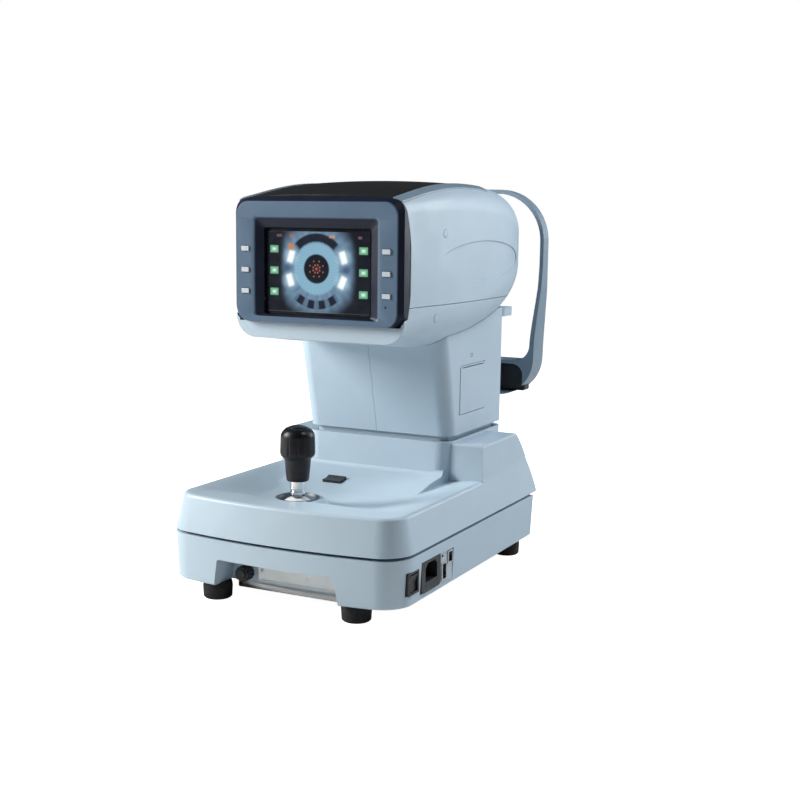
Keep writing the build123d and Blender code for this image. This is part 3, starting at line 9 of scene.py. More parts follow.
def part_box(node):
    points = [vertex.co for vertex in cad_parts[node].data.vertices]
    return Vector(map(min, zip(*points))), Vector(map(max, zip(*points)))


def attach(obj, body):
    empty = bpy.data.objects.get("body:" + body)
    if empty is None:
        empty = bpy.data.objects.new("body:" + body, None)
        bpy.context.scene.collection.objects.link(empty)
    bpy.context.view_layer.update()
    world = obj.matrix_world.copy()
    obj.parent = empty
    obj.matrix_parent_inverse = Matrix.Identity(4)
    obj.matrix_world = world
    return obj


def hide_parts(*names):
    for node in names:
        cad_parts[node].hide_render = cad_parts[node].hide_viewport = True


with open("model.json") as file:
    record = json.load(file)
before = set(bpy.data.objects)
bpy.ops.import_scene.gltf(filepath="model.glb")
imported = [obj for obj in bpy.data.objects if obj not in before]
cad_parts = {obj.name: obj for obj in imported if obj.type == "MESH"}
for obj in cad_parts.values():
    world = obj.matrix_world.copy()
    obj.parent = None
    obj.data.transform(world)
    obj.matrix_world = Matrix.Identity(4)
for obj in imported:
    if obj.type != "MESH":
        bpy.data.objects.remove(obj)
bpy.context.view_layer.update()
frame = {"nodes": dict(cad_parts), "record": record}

MM = 0.001
base_low, base_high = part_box("base_tray")
BASE_MIDDLE = (base_low.y + base_high.y) / 2


def at(x, y, z):
    """A point given in millimetres from the middle of the base on the table."""
    return Vector((x * MM, y * MM + BASE_MIDDLE, z * MM))


# ---------------------------------------------------------------- camera
CAMERA_PLACE = Vector((0.6595, -1.2663, 0.3934))
CAMERA_AIM = Vector((-0.4437, 0.8845, -0.1442)).normalized()
CAMERA_ROLL = math.radians(0.66)
CAMERA_LENS = 57.8


def aimed(place, aim, roll=0.0):
    """The matrix of an object at place that looks along aim."""
    right = aim.cross(Vector((0, 0, 1))).normalized()
    up = right.cross(aim)
    tilted_right = right * math.cos(roll) + up * math.sin(roll)
    tilted_up = up * math.cos(roll) - right * math.sin(roll)
    turn = Matrix((tilted_right, tilted_up, -aim)).transposed().to_4x4()
    return Matrix.Translation(place) @ turn


def add_camera():
    """The camera, before the right-hand corner of the operator's side."""
    data = bpy.data.cameras.new("camera")
    data.lens = CAMERA_LENS
    data.sensor_width = 36
    data.clip_end = 100
    camera = bpy.data.objects.new("camera", data)
    camera.matrix_world = aimed(CAMERA_PLACE, CAMERA_AIM, CAMERA_ROLL)
    bpy.context.scene.collection.objects.link(camera)
    bpy.context.scene.camera = camera


# ---------------------------------------------------------------- materials
class Surface:
    """A node material built up step by step around one Principled shader."""

    def __init__(self, name, roughness=0.4, metallic=0.0, specular=0.5):
        self.material = bpy.data.materials.new(name)
        self.material.use_nodes = True
        self.nodes = self.material.node_tree.nodes
        self.links = self.material.node_tree.links
        self.shader = self.nodes["Principled BSDF"]
        self.shader.inputs["Roughness"].default_value = roughness
        self.shader.inputs["Metallic"].default_value = metallic
        self.shader.inputs["Specular IOR Level"].default_value = specular
        self.place = self.node("ShaderNodeTexCoord").outputs["Object"]

    def node(self, kind, **settings):
        """A new node of a kind, with its settings."""
        made = self.nodes.new(kind)
        for key, value in settings.items():
            setattr(made, key, value)
        return made

    def wire(self, source, target):
        """A link from an output to an input."""
        self.links.new(source, target)

    def noise(self, scale, detail=3.0, stretch=None):
        """Noise over the object; scale is how many blotches there are in a metre."""
        made = self.node("ShaderNodeTexNoise")
        made.inputs["Scale"].default_value = scale
        made.inputs["Detail"].default_value = detail
        place = self.place
        if stretch:
            mapping = self.node("ShaderNodeMapping")
            mapping.inputs["Scale"].default_value = stretch
            self.wire(place, mapping.inputs["Vector"])
            place = mapping.outputs["Vector"]
        self.wire(place, made.inputs["Vector"])
        return made.outputs["Fac"]

    def spread(self, value, low, high, source=(0.3, 0.7)):
        """A value from source stretched over low to high."""
        made = self.node("ShaderNodeMapRange")
        made.inputs["From Min"].default_value, made.inputs["From Max"].default_value = source
        made.inputs["To Min"].default_value = low
        made.inputs["To Max"].default_value = high
        self.wire(value, made.inputs["Value"])
        return made.outputs["Result"]

    def blend(self, factor, first, second):
        """Two colours (a tuple or another node's output) mixed by factor."""
        made = self.node("ShaderNodeMix", data_type="RGBA")
        self.wire(factor, made.inputs["Factor"])
        for colour, socket in ((first, "A"), (second, "B")):
            target = [s for s in made.inputs if s.name == socket and s.type == "RGBA"][0]
            if isinstance(colour, tuple):
                target.default_value = (*colour, 1)
            else:
                self.wire(colour, target)
        return [s for s in made.outputs if s.type == "RGBA"][0]

    def edges(self, radius, reach=0.25):
        """One on the outer edges and corners, nought on the flats."""
        bevel = self.node("ShaderNodeBevel", samples=4)
        bevel.inputs["Radius"].default_value = radius
        flat = self.node("ShaderNodeNewGeometry").outputs["Normal"]
        dot = self.node("ShaderNodeVectorMath", operation="DOT_PRODUCT")
        self.wire(bevel.outputs["Normal"], dot.inputs[0])
        self.wire(flat, dot.inputs[1])
        return self.spread(dot.outputs["Value"], 1.0, 0.0, (1.0 - reach, 0.985))

    def relief(self, heights, soften=0.0003):
        """Bumps from (height, strength, distance) on softly rounded edges."""
        bevel = self.node("ShaderNodeBevel", samples=4)
        bevel.inputs["Radius"].default_value = soften
        normal = bevel.outputs["Normal"]
        for height, strength, distance in heights:
            bump = self.node("ShaderNodeBump")
            bump.inputs["Strength"].default_value = strength
            bump.inputs["Distance"].default_value = distance
            self.wire(height, bump.inputs["Height"])
            self.wire(normal, bump.inputs["Normal"])
            normal = bump.outputs["Normal"]
        self.wire(normal, self.shader.inputs["Normal"])

    def colour(self, output):
        """The base colour from an output."""
        self.wire(output, self.shader.inputs["Base Color"])

    def roughness(self, output):
        """The roughness from an output."""
        self.wire(output, self.shader.inputs["Roughness"])


def shade(colour, factor):
    """The colour made lighter or darker."""
    return tuple(min(1.0, part * factor) for part in colour)


def plastic(name, colour, roughness=0.4, grain=0.10, grain_scale=2400, wear=0.25, coat=0.0):
    """Moulded plastic: spark-eroded grain, faint clouding, handling marks and rubbed edges."""
    s = Surface(name, roughness, specular=0.45)
    clouds = s.spread(s.noise(9, 3), 0, 1)
    body = s.blend(clouds, shade(colour, 0.965), shade(colour, 1.03))
    marks = s.spread(s.noise(60, 5), 0, wear, (0.52, 0.72))
    edge = s.node("ShaderNodeMath", operation="MULTIPLY")
    s.wire(s.edges(0.0012), edge.inputs[0])
    s.wire(marks, edge.inputs[1])
    rubbed = tuple(part + (0.9 - part) * 0.35 for part in colour)
    s.colour(s.blend(edge.outputs["Value"], body, rubbed))
    s.roughness(s.spread(s.noise(34, 5), roughness - 0.06, roughness + 0.08))
    s.relief([(s.noise(grain_scale, 2), grain, 0.00012), (s.noise(38, 2), 0.05, 0.0006)], 0.0005)
    if coat:
        s.shader.inputs["Coat Weight"].default_value = coat
        s.shader.inputs["Coat Roughness"].default_value = 0.12
    return s.material


def foil(name, colour):
    """Blank metallised label foil: satin, faintly rippled, with rubbed patches."""
    s = Surface(name, 0.34, metallic=0.35, specular=0.6)
    s.colour(s.blend(s.spread(s.noise(30, 5), 0, 1), shade(colour, 0.88), colour))
    s.roughness(s.spread(s.noise(120, 5), 0.26, 0.44))
    s.relief([(s.noise(60, 3), 0.10, 0.0004), (s.noise(1800, 2, (12, 1, 1)), 0.08, 0.00008)])
    return s.material


def rubber(name, colour, roughness=0.62):
    """Rubber: a soft matt skin with fine pores and patches of dust."""
    s = Surface(name, roughness, specular=0.35)
    dust = s.spread(s.noise(120, 6), 0, 0.10, (0.5, 0.75))
    body = s.blend(s.spread(s.noise(25, 4), 0, 1), shade(colour, 0.8), shade(colour, 1.25))
    s.colour(s.blend(dust, body, (0.10, 0.10, 0.105)))
    s.roughness(s.spread(s.noise(80, 4), roughness - 0.1, roughness + 0.12))
    s.relief([(s.noise(1500, 3), 0.22, 0.0002)], 0.0004)
    return s.material


def silicone(name, colour):
    """Soft silicone that lets a little light through its skin."""
    s = Surface(name, 0.48, specular=0.4)
    s.colour(s.blend(s.spread(s.noise(20, 4), 0, 1), shade(colour, 0.93), colour))
    s.roughness(s.spread(s.noise(60, 4), 0.42, 0.56))
    s.relief([(s.noise(900, 3), 0.12, 0.0003)], 0.0006)
    s.shader.inputs["Subsurface Weight"].default_value = 0.15
    s.shader.inputs["Subsurface Scale"].default_value = 0.004
    return s.material


def metal(name, colour, roughness, brush=0.0, turned=(1, 1, 30)):
    """Bare or plated metal with fine tool marks, faint tarnish and bright edges."""
    s = Surface(name, roughness, metallic=1.0)
    tarnish = s.spread(s.noise(45, 6), 0, 1)
    body = s.blend(tarnish, shade(colour, 0.86), colour)
    s.colour(s.blend(s.edges(0.0006), body, shade(colour, 1.2)))
    s.roughness(s.spread(s.noise(90, 6), max(0.03, roughness - 0.07), roughness + 0.1))
    heights = [(s.noise(700, 2), 0.05, 0.0001)]
    if brush:
        heights.append((s.noise(260, 2, turned), brush, 0.00015))
    s.relief(heights)
    return s.material


def board_green(name):
    """Solder mask with a faint pattern of tracks beneath it."""
    s = Surface(name, 0.35, specular=0.5)
    tracks = s.node("ShaderNodeTexBrick")
    tracks.inputs["Scale"].default_value = 160
    tracks.inputs["Mortar Size"].default_value = 0.03
    tracks.inputs["Color1"].default_value = (0.012, 0.10, 0.045, 1)
    tracks.inputs["Color2"].default_value = (0.010, 0.085, 0.04, 1)
    tracks.inputs["Mortar"].default_value = (0.03, 0.17, 0.08, 1)
    s.wire(s.place, tracks.inputs["Vector"])
    s.colour(tracks.outputs["Color"])
    s.roughness(s.spread(s.noise(80, 4), 0.28, 0.45))
    s.relief([(s.noise(800, 2), 0.1, 0.0001)])
    return s.material


def paper_white(name):
    """Thermal paper: matt, faintly fibrous."""
    s = Surface(name, 0.7, specular=0.25)
    s.colour(s.blend(s.spread(s.noise(500, 6), 0, 1), (0.72, 0.72, 0.70), (0.80, 0.80, 0.78)))
    s.roughness(s.spread(s.noise(200, 4), 0.62, 0.8))
    s.relief([(s.noise(2500, 4), 0.2, 0.0001)])
    return s.material


def dark_glass(name, tint=(0.55, 0.65, 0.70)):
    """Coated glass: clear, with a faint tint and wiping marks."""
    s = Surface(name, 0.04, specular=0.6)
    s.colour(s.blend(s.spread(s.noise(14, 3), 0, 1), shade(tint, 0.85), tint))
    s.roughness(s.spread(s.noise(55, 6), 0.015, 0.09))
    s.relief([(s.noise(9, 2), 0.02, 0.0005)])
    s.shader.inputs["Transmission Weight"].default_value = 0.85
    s.shader.inputs["IOR"].default_value = 1.5
    s.shader.inputs["Coat Weight"].default_value = 0.6
    s.shader.inputs["Coat Tint"].default_value = (0.62, 0.5, 0.95, 1)
    return s.material


def screen_glass(name):
    """The display's dark front, matt coated against reflections."""
    s = Surface(name, 0.22, specular=0.5)
    s.colour(s.blend(s.spread(s.noise(30, 3), 0, 1), (0.008, 0.010, 0.014), (0.014, 0.017, 0.022)))
    s.roughness(s.spread(s.noise(70, 5), 0.16, 0.3))
    s.relief([(s.noise(3000, 2), 0.06, 0.00005)])
    return s.material


def screen_light(name):
    """The lit picture: the mesh's own colours glow through the same matt coating."""
    s = Surface(name, 0.2, specular=0.5)
    colours = s.node("ShaderNodeVertexColor", layer_name="picture")
    s.wire(colours.outputs["Color"], s.shader.inputs["Emission Color"])
    s.shader.inputs["Emission Strength"].default_value = 1.0
    s.colour(s.blend(s.spread(s.noise(30, 3), 0, 1), (0.006, 0.008, 0.011), (0.011, 0.013, 0.018)))
    s.roughness(s.spread(s.noise(70, 5), 0.14, 0.26))
    return s.material


def bezel_plastic(name, face, dark, front, depth):
    """Slate-blue moulding whose flanks and funnel walls, behind the front face, are painted almost
    black as painted shade.
    """
    s = Surface(name, 0.38, specular=0.2)
    split = s.node("ShaderNodeSeparateXYZ")
    s.wire(s.place, split.inputs["Vector"])
    # painted shade: past the front face the colour turns near-black, standing in for shadow on the
    # flanks and funnel walls
    behind = s.spread(split.outputs["Y"], 0, 1, (front + depth * 0.4, front + depth))
    clouds = s.blend(s.spread(s.noise(10, 3), 0, 1), shade(face, 0.94), shade(face, 1.06))
    flank_painted_shade = s.blend(s.spread(s.noise(20, 3), 0, 1), shade(dark, 0.9), shade(dark, 1.2))
    s.colour(s.blend(behind, clouds, flank_painted_shade))
    s.roughness(s.spread(s.noise(34, 5), 0.3, 0.46))
    s.relief([(s.noise(2600, 2), 0.09, 0.00012)], 0.0006)
    return s.material


HEAD_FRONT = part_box("display_bezel")[0].y
CASE_BLUE = (0.44, 0.560, 0.665)
BEZEL_BLUE = (0.098, 0.155, 0.235)
# near-black painted shade for the bezel's flanks and funnel walls
BEZEL_PAINTED_SHADE = (0.009, 0.013, 0.029)
FLANK_DEPTH = 0.0013
LOOKS = {
    "case": plastic("case_plastic", CASE_BLUE, 0.40),
    "trim": plastic("trim_plastic", (0.19, 0.27, 0.35), 0.36, wear=0.35),
    "bezel": bezel_plastic("bezel_plastic", BEZEL_BLUE, BEZEL_PAINTED_SHADE, HEAD_FRONT, FLANK_DEPTH),
    "cover": plastic("cover_plastic", (0.0045, 0.0044, 0.0055), 0.34, grain=0.05, wear=0.10),
    "black": plastic("black_plastic", (0.014, 0.015, 0.019), 0.42, grain=0.16, wear=0.18),
    "grip": rubber("grip_rubber", (0.006, 0.007, 0.010), 0.34),
    "rubber": rubber("foot_rubber", (0.006, 0.006, 0.007), 0.66),
    "pad": silicone("pad_silicone", (0.62, 0.66, 0.70)),
    "chin": plastic("chin_plastic", (0.72, 0.75, 0.77), 0.3, grain=0.05),
    "white": plastic("dome_plastic", (0.80, 0.84, 0.87), 0.3, grain=0.04, coat=0.3),
    "ring": plastic("ring_plastic", (0.10, 0.14, 0.18), 0.4),
    "key": plastic("key_plastic", (0.50, 0.56, 0.62), 0.45, grain=0.08),
    "screen": screen_glass("screen_coating"),
    "socket": metal("socket_plating", (0.48, 0.50, 0.53), 0.28, 0.12, (1, 12, 1)),
    "pale_plate": plastic("panel_paint", (0.46, 0.53, 0.59), 0.45, grain=0.16, grain_scale=1600),
    "steel": metal("zinc_steel", (0.50, 0.51, 0.53), 0.32, 0.2, (14, 1, 1)),
    "chrome": metal("polished_chrome", (0.80, 0.81, 0.83), 0.14),
    "alloy": metal("cast_alloy", (0.55, 0.56, 0.58), 0.42, 0.1, (1, 1, 1)),
    "rack": metal("rack_brass", (0.62, 0.47, 0.24), 0.3, 0.1),
    "bearing": plastic("bearing_acetal", (0.66, 0.64, 0.58), 0.4, grain=0.04),
    "board": board_green("board_solder_mask"),
    "inner": plastic("inner_plastic", (0.05, 0.053, 0.058), 0.5, grain=0.2),
    "paper": paper_white("thermal_paper"),
    "glass": dark_glass("coated_glass"),
}


def dress_nodes():
    """Every CAD node takes the material of its slot in the record."""
    for part in frame["record"]["subparts"]:
        node = frame["nodes"][part["node"]]
        node.data.materials.clear()
        node.data.materials.append(LOOKS[part["material_slot"]])


# ---------------------------------------------------------------- smooth shading of the CAD nodes
SHARP_ANGLE = math.radians(32)
WELD_DISTANCE = 1e-6


def smoothing_nodes():
    """Joins the CAD faces' edges and keeps only real corners sharp."""
    tree = bpy.data.node_groups.new("smooth_faces", "GeometryNodeTree")
    tree.interface.new_socket("Geometry", in_out="INPUT", socket_type="NodeSocketGeometry")
    tree.interface.new_socket("Geometry", in_out="OUTPUT", socket_type="NodeSocketGeometry")
    start = tree.nodes.new("NodeGroupInput")
    end = tree.nodes.new("NodeGroupOutput")
    plain = tree.nodes.new("GeometryNodeRemoveAttribute")
    plain.inputs["Name"].default_value = "custom_normal"
    weld = tree.nodes.new("GeometryNodeMergeByDistance")
    weld.inputs["Distance"].default_value = WELD_DISTANCE
    smooth = tree.nodes.new("GeometryNodeSetShadeSmooth")
    sharp = tree.nodes.new("GeometryNodeSetShadeSmooth")
    sharp.domain = "EDGE"
    sharp.inputs["Shade Smooth"].default_value = False
    angle = tree.nodes.new("GeometryNodeInputMeshEdgeAngle")
    steep = tree.nodes.new("FunctionNodeCompare")
    steep.inputs[1].default_value = SHARP_ANGLE
    for source, target in (
        (start.outputs[0], plain.inputs["Geometry"]),
        (plain.outputs[0], weld.inputs["Geometry"]),
        (weld.outputs[0], smooth.inputs["Geometry"]),
        (smooth.outputs[0], sharp.inputs["Geometry"]),
        (angle.outputs["Unsigned Angle"], steep.inputs[0]),
        (steep.outputs["Result"], sharp.inputs["Selection"]),
        (sharp.outputs[0], end.inputs[0]),
    ):
        tree.links.new(source, target)
    return tree


def smooth_nodes():
    """Every CAD node is shaded smooth by modifiers, with its mesh left as it is."""
    tree = smoothing_nodes()
    for node in frame["nodes"].values():
        joined = node.modifiers.new("smooth_faces", "NODES")
        joined.node_group = tree
        weighted = node.modifiers.new("weighted", "WEIGHTED_NORMAL")
        weighted.keep_sharp = True


# ---------------------------------------------------------------- making pieces
def piece(name, mesh_or_bmesh, body, slot, material=None, smooth_angle=35):
    """A finished object from a mesh, riding on body, in the slot's own material or another."""
    mesh = mesh_or_bmesh
    if isinstance(mesh, bmesh.types.BMesh):
        bmesh.ops.recalc_face_normals(mesh_or_bmesh, faces=mesh_or_bmesh.faces)
        mesh = bpy.data.meshes.new(name)
        mesh_or_bmesh.to_mesh(mesh)
        mesh_or_bmesh.free()
    mesh.name = name
    mesh.shade_smooth()
    mesh.set_sharp_from_angle(angle=math.radians(smooth_angle))
    thing = bpy.data.objects.new(name, mesh)
    bpy.context.scene.collection.objects.link(thing)
    mesh.materials.append(material or LOOKS[slot])
    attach(thing, body)
    return thing


def outline(width, height, radius, steps=6):
    """Points around a rectangle with round corners."""
    points = []
    for quarter, (sx, sy) in enumerate(((1, 1), (-1, 1), (-1, -1), (1, -1))):
        for step in range(steps + 1):
            angle = math.radians(90 * quarter + 90 * step / steps)
            points.append((
                sx * (width / 2 - radius) + radius * math.cos(angle),
                sy * (height / 2 - radius) + radius * math.sin(angle),
            ))
    return points


def bridge(mesh, first, second):
    """Faces between two rings of as many vertices."""
    count = len(first)
    for k in range(count):
        mesh.faces.new((first[k], first[(k + 1) % count], second[(k + 1) % count], second[k]))


def stacked(mesh, layers):
    """A closed solid from rings of places, each ring with as many points as the others."""
    rings = [[mesh.verts.new(p) for p in layer] for layer in layers]
    mesh.faces.new(rings[0])
    for lower, upper in zip(rings, rings[1:]):
        bridge(mesh, lower, upper)
    mesh.faces.new(rings[-1])


def turned(mesh, centre, axis, profile, steps=40):
    """A solid of revolution: profile is (distance along axis, radius) in mm from a centre."""
    axis = axis.normalized()
    side = axis.orthogonal().normalized()
    other = axis.cross(side)
    layers = []
    for along, radius in profile:
        layers.append([
            centre + axis * along * MM
            + (side * math.cos(a) + other * math.sin(a)) * max(radius, 0.01) * MM
            for a in (2 * math.pi * k / steps for k in range(steps))
        ])
    stacked(mesh, layers)


def slab(mesh, width, height, radius, place, depths):
    """A round-cornered plate: depths are (depth, inset) pairs from its back to its face."""
    layers = []
    for depth, inset in depths:
        points = outline(width - 2 * inset, height - 2 * inset, max(radius - inset, 0.05))
        layers.append([place(u, v, depth) for u, v in points])
    stacked(mesh, layers)


# ---------------------------------------------------------------- the picture on the display
def linear(red, green, blue):
    """A display colour of 0 to 255 as linear light."""
    return Vector([(part / 255) ** 2.2 for part in (red, green, blue)])


def step_down(value, edge, soft):
    """One below the edge, nought above it, with a soft turn between."""
    t = min(1.0, max(0.0, (edge + soft - value) / (2 * soft)))
    return t * t * (3 - 2 * t)


def box_mask(x, y, centre, half_width, half_height, soft, turn=0.0):
    """One inside a rectangle turned about its centre, nought outside."""
    dx, dy = x - centre[0], y - centre[1]
    u = dx * math.cos(turn) + dy * math.sin(turn)
    v = dy * math.cos(turn) - dx * math.sin(turn)
    return step_down(abs(u), half_width, soft) * step_down(abs(v), half_height, soft)


EYE_X = -2.0
EYE_Z = 3.5
HALO_RADIUS = 46
PICTURE_HALF = 41
IRIS_RADIUS = 26.2
PUPIL_RADIUS = 14.8
UPPER_ARC = (31.5, 4.2, 0.80)
LOWER_ARC = (36.5, 4.4, 0.72)
DOT_RINGS = ((8.2, 0.75), (4.0, 0.85))
SOFT_KEY_X = 52
SOFT_KEY_HEIGHTS = (22.7, 1.0, -20.8)
MIRE_PLACES = ((31, 12, 0.30), (30, -13, -0.42), (-31, -12, 0.30), (-30, 12, -0.30))
DOT_COUNT = 8
TOP_MARKS = (
    (-46, 36.5, 3.0, (120, 92, 104)),
    (-31, 36.5, 2.4, (176, 96, 72)),
    (16, 36.0, 3.4, (214, 140, 92)),
    (48, 35.5, 2.2, (120, 96, 100)),
)
ARC_BLOCKS = 9


def picture(x, z):
    """The display's colour x mm right and z mm above its middle: an eye between soft keys."""
    dx, dz = x - EYE_X, z - EYE_Z
    far = math.hypot(dx, dz)
    angle = math.atan2(dz, dx)
    colour = linear(16, 19, 30)
    halo = step_down(far, HALO_RADIUS, 9)
    streaks = 0.5 + 0.5 * math.sin(angle * 23 + far * 0.21) * math.sin(angle * 7 - far * 0.13)
    colour = colour.lerp(linear(112, 142, 168) * (0.8 + 0.3 * streaks), halo * 0.9)
    mask = box_mask(x, z, (0, 0), PICTURE_HALF, 60, 5)
    colour = linear(14, 16, 25).lerp(colour, mask)
    # dark arcs over and under the iris
    radius, half_width, half_angle = UPPER_ARC
    band = step_down(abs(far - radius), half_width, 1.0)
    over = step_down(abs(angle - math.pi / 2), half_angle, 0.06)
    colour = colour.lerp(linear(20, 26, 40), band * over)
    radius, half_width, half_angle = LOWER_ARC
    band = step_down(abs(far - radius), half_width, 0.8)
    under = step_down(abs(angle + math.pi / 2), half_angle, 0.05)
    block = 0.5 + 0.5 * math.cos((angle + math.pi / 2) * ARC_BLOCKS * 2.0)
    blocks = 0.35 + 0.65 * step_down(block, 0.62, 0.2)
    colour = colour.lerp(linear(22, 28, 42), band * under * blocks)
    # the iris and its fibres
    fibres = 0.5 + 0.5 * math.sin(angle * 61) * math.cos(angle * 17 + far * 0.4)
    iris = linear(118, 164, 190).lerp(linear(160, 196, 212), 0.55 * fibres)
    colour = colour.lerp(iris, step_down(far, IRIS_RADIUS, 1.6))
    colour = colour.lerp(linear(9, 13, 22), step_down(far, PUPIL_RADIUS, 0.9))
    # red target dots in the pupil
    for k in range(DOT_COUNT):
        turn = 2 * math.pi * k / DOT_COUNT + math.pi / 8
        for reach, size in DOT_RINGS:
            spot = math.hypot(dx - reach * math.cos(turn), dz - reach * math.sin(turn))
            colour = colour.lerp(linear(190, 112, 96), 0.8 * step_down(spot, size, 0.5))
    colour = colour.lerp(linear(200, 90, 80), 0.8 * step_down(far, 1.4, 0.5))
    # four white mires
    for mx, mz, turn in MIRE_PLACES:
        glow = math.hypot(dx - mx, dz - mz)
        colour = colour.lerp(linear(190, 225, 240), 0.55 * step_down(glow, 7, 5))
        blob = box_mask(dx, dz, (mx, mz), 3.4, 6.2, 1.6, turn)
        colour = colour.lerp(linear(250, 255, 255), blob)
    for side in (-1, 1):
        shadow = math.hypot((dx - side * 35) / 1.4, dz)
        colour = colour.lerp(linear(44, 66, 98), 0.7 * step_down(shadow, 3.5, 2.5))
    orange = math.hypot(dx + 30, dz - 22)
    colour = colour.lerp(linear(200, 128, 70), 0.85 * step_down(orange, 3.6, 1.8))
    # small marks along the top
    for x0, z0, half, tint in TOP_MARKS:
        mark = box_mask(x, z, (x0, z0), half, 1.3, 0.6)
        colour = colour.lerp(linear(*tint), 0.75 * mark)
    # soft keys beside the hardware keys
    for side in (-1, 1):
        for height in SOFT_KEY_HEIGHTS:
            key = box_mask(x, z, (side * SOFT_KEY_X, height), 4.8, 3.6, 0.5)
            colour = colour.lerp(linear(110, 176, 138), key)
            glyph = box_mask(x, z, (side * SOFT_KEY_X, height), 2.2, 1.5, 0.7)
            colour = colour.lerp(linear(222, 246, 232), glyph * 0.8)
    return colour


SCREEN_HALF_WIDTH = 59.6
SCREEN_HALF_HEIGHT = 40.9
SCREEN_MIDDLE = 332.75
SCREEN_STEP = 0.6
SCREEN_LIFT = 0.15
SCREEN_RIM_LIFT = 0.02


def add_screen_picture():
    """A fine grid in front of the panel, coloured point by point, with turned-back edges."""
    panel_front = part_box("lcd_panel")[0].y
    columns = round(2 * SCREEN_HALF_WIDTH / SCREEN_STEP)
    rows = round(2 * SCREEN_HALF_HEIGHT / SCREEN_STEP)
    mesh = bpy.data.meshes.new("screen_picture")
    verts, colours, faces = [], [], []
    for row in range(rows + 1):
        for column in range(columns + 1):
            x = SCREEN_HALF_WIDTH * (2 * column / columns - 1)
            z = SCREEN_HALF_HEIGHT * (2 * row / rows - 1)
            rim = column in (0, columns) or row in (0, rows)
            y = panel_front - (SCREEN_RIM_LIFT if rim else SCREEN_LIFT) * MM
            verts.append(Vector((x * MM, y, (SCREEN_MIDDLE + z) * MM)))
            colours.append(picture(x, z))
    for row in range(rows):
        for column in range(columns):
            k = row * (columns + 1) + column
            faces.append((k, k + 1, k + columns + 2, k + columns + 1))
    mesh.from_pydata(verts, [], faces)
    layer = mesh.color_attributes.new("picture", "FLOAT_COLOR", "POINT")
    for k, colour in enumerate(colours):
        layer.data[k].color = (*colour, 1)
    piece("screen_picture", mesh, "head", "screen", screen_light("screen_light"))


# ---------------------------------------------------------------- small pieces
TO_OPERATOR = Vector((0, -1, 0))
TO_PATIENT = Vector((0, 1, 0))


def surface_at(node, origin, direction):
    """Where a ray meets a CAD node, and that spot's outward normal."""
    hit, place, normal, _ = frame["nodes"][node].ray_cast(origin, direction)
    if not hit:
        raise RuntimeError(f"no surface of {node} under the ray")
    return place, normal


PLUG_PLACES = ((-11, 373), (-27, 287))
PLUG_PROFILE = [(-0.6, 4.2), (0.10, 4.2), (0.22, 4.0), (0.28, 3.2), (0.30, 1.2), (0.30, 0)]
GROOVE_PROFILE = [(-0.6, 4.65), (0.03, 4.65), (0.06, 4.5), (0.05, 4.3), (0.0, 4.2), (-0.6, 4.2)]
SHELL_SPLIT = 300
BESIDE_HEAD = 140


def add_screw_plugs():
    """Flush round plugs over the case screws, each with a fine groove around it."""
    shadow = plastic("groove_shadow", shade(CASE_BLUE, 0.55), 0.5)
    for side, name in ((1, "right"), (-1, "left")):
        for number, (y, z) in enumerate(PLUG_PLACES):
            node = f"{name}_shell" if z > SHELL_SPLIT else "lower_shell"
            place, normal = surface_at(node, at(side * BESIDE_HEAD, y, z), Vector((-side, 0, 0)))
            plug = bmesh.new()
            turned(plug, place, normal, PLUG_PROFILE)
            piece(f"screw_plug_{name}_{number + 1}", plug, "head", "case")
            groove = bmesh.new()
            turned(groove, place, normal, GROOVE_PROFILE)
            groove_name = f"screw_plug_groove_{name}_{number + 1}"
            piece(groove_name, groove, "head", "case", shadow)


LAMP_X = 81
LAMP_Z = 301
LAMP_SUNK = 1.2
LENS_PROFILE = [(-3, 1.0), (0, 1.0), (0.5, 0.85), (0.8, 0.5), (0.9, 0.0)]


def add_status_lamp():
    """A little clear lens in its hole under the right-hand keys."""
    lens = bmesh.new()
    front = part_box("display_bezel")[0]
    centre = Vector((LAMP_X * MM, front.y + LAMP_SUNK * MM, LAMP_Z * MM))
    turned(lens, centre, TO_OPERATOR, LENS_PROFILE, 24)
    piece("status_lamp", lens, "head", "black")


LABEL_WIDTH = 104
LABEL_HEIGHT = 23
LABEL_X = 13
LABEL_Z = 31
LABEL_LAYERS = [(-0.5, 0), (0.45, 0), (0.6, 0.2), (0.6, 1.2), (0.42, 1.5), (0.42, 3)]
LABEL_SILVER = (0.74, 0.78, 0.80)
RIVET_PROFILE = [(-0.4, 1.5), (0.3, 1.5), (0.6, 1.2), (0.8, 0.6), (0.85, 0)]
RIVET_MARGIN = 4.5
RIVET_DEPTH = 0.4
BEFORE_BASE = -260


def recess_wall():
    """The place on the back wall of the front recess behind the middle of the label."""
    place, _ = surface_at("base_tray", at(LABEL_X, BEFORE_BASE, LABEL_Z), TO_PATIENT)
    return place


def add_rating_label():
    """A blank metallised plate with a raised rim and two rivets, low in the front recess."""
    place = recess_wall()

    def on_panel(u, v, depth):
        return place + Vector((u, -depth, v)) * MM

    label = bmesh.new()
    slab(label, LABEL_WIDTH, LABEL_HEIGHT, 2.0, on_panel, LABEL_LAYERS)
    piece("rating_label", label, "base", "pale_plate", foil("label_foil", LABEL_SILVER))
    for side in (-1, 1):
        rivet = bmesh.new()
        centre = on_panel(side * (LABEL_WIDTH / 2 - RIVET_MARGIN), 0, RIVET_DEPTH)
        turned(rivet, centre, TO_OPERATOR, RIVET_PROFILE, 24)
        piece(f"label_rivet_{'left' if side < 0 else 'right'}", rivet, "base", "steel")


APRON_LOW = 10.0
APRON_TOP = 18.5
APRON_WIDTH = 128
APRON_SUNK = 0.8
APRON_LAYERS = [(-1.4, 0.3), (-1.2, 0), (0.1, 0), (0.3, 0.3)]


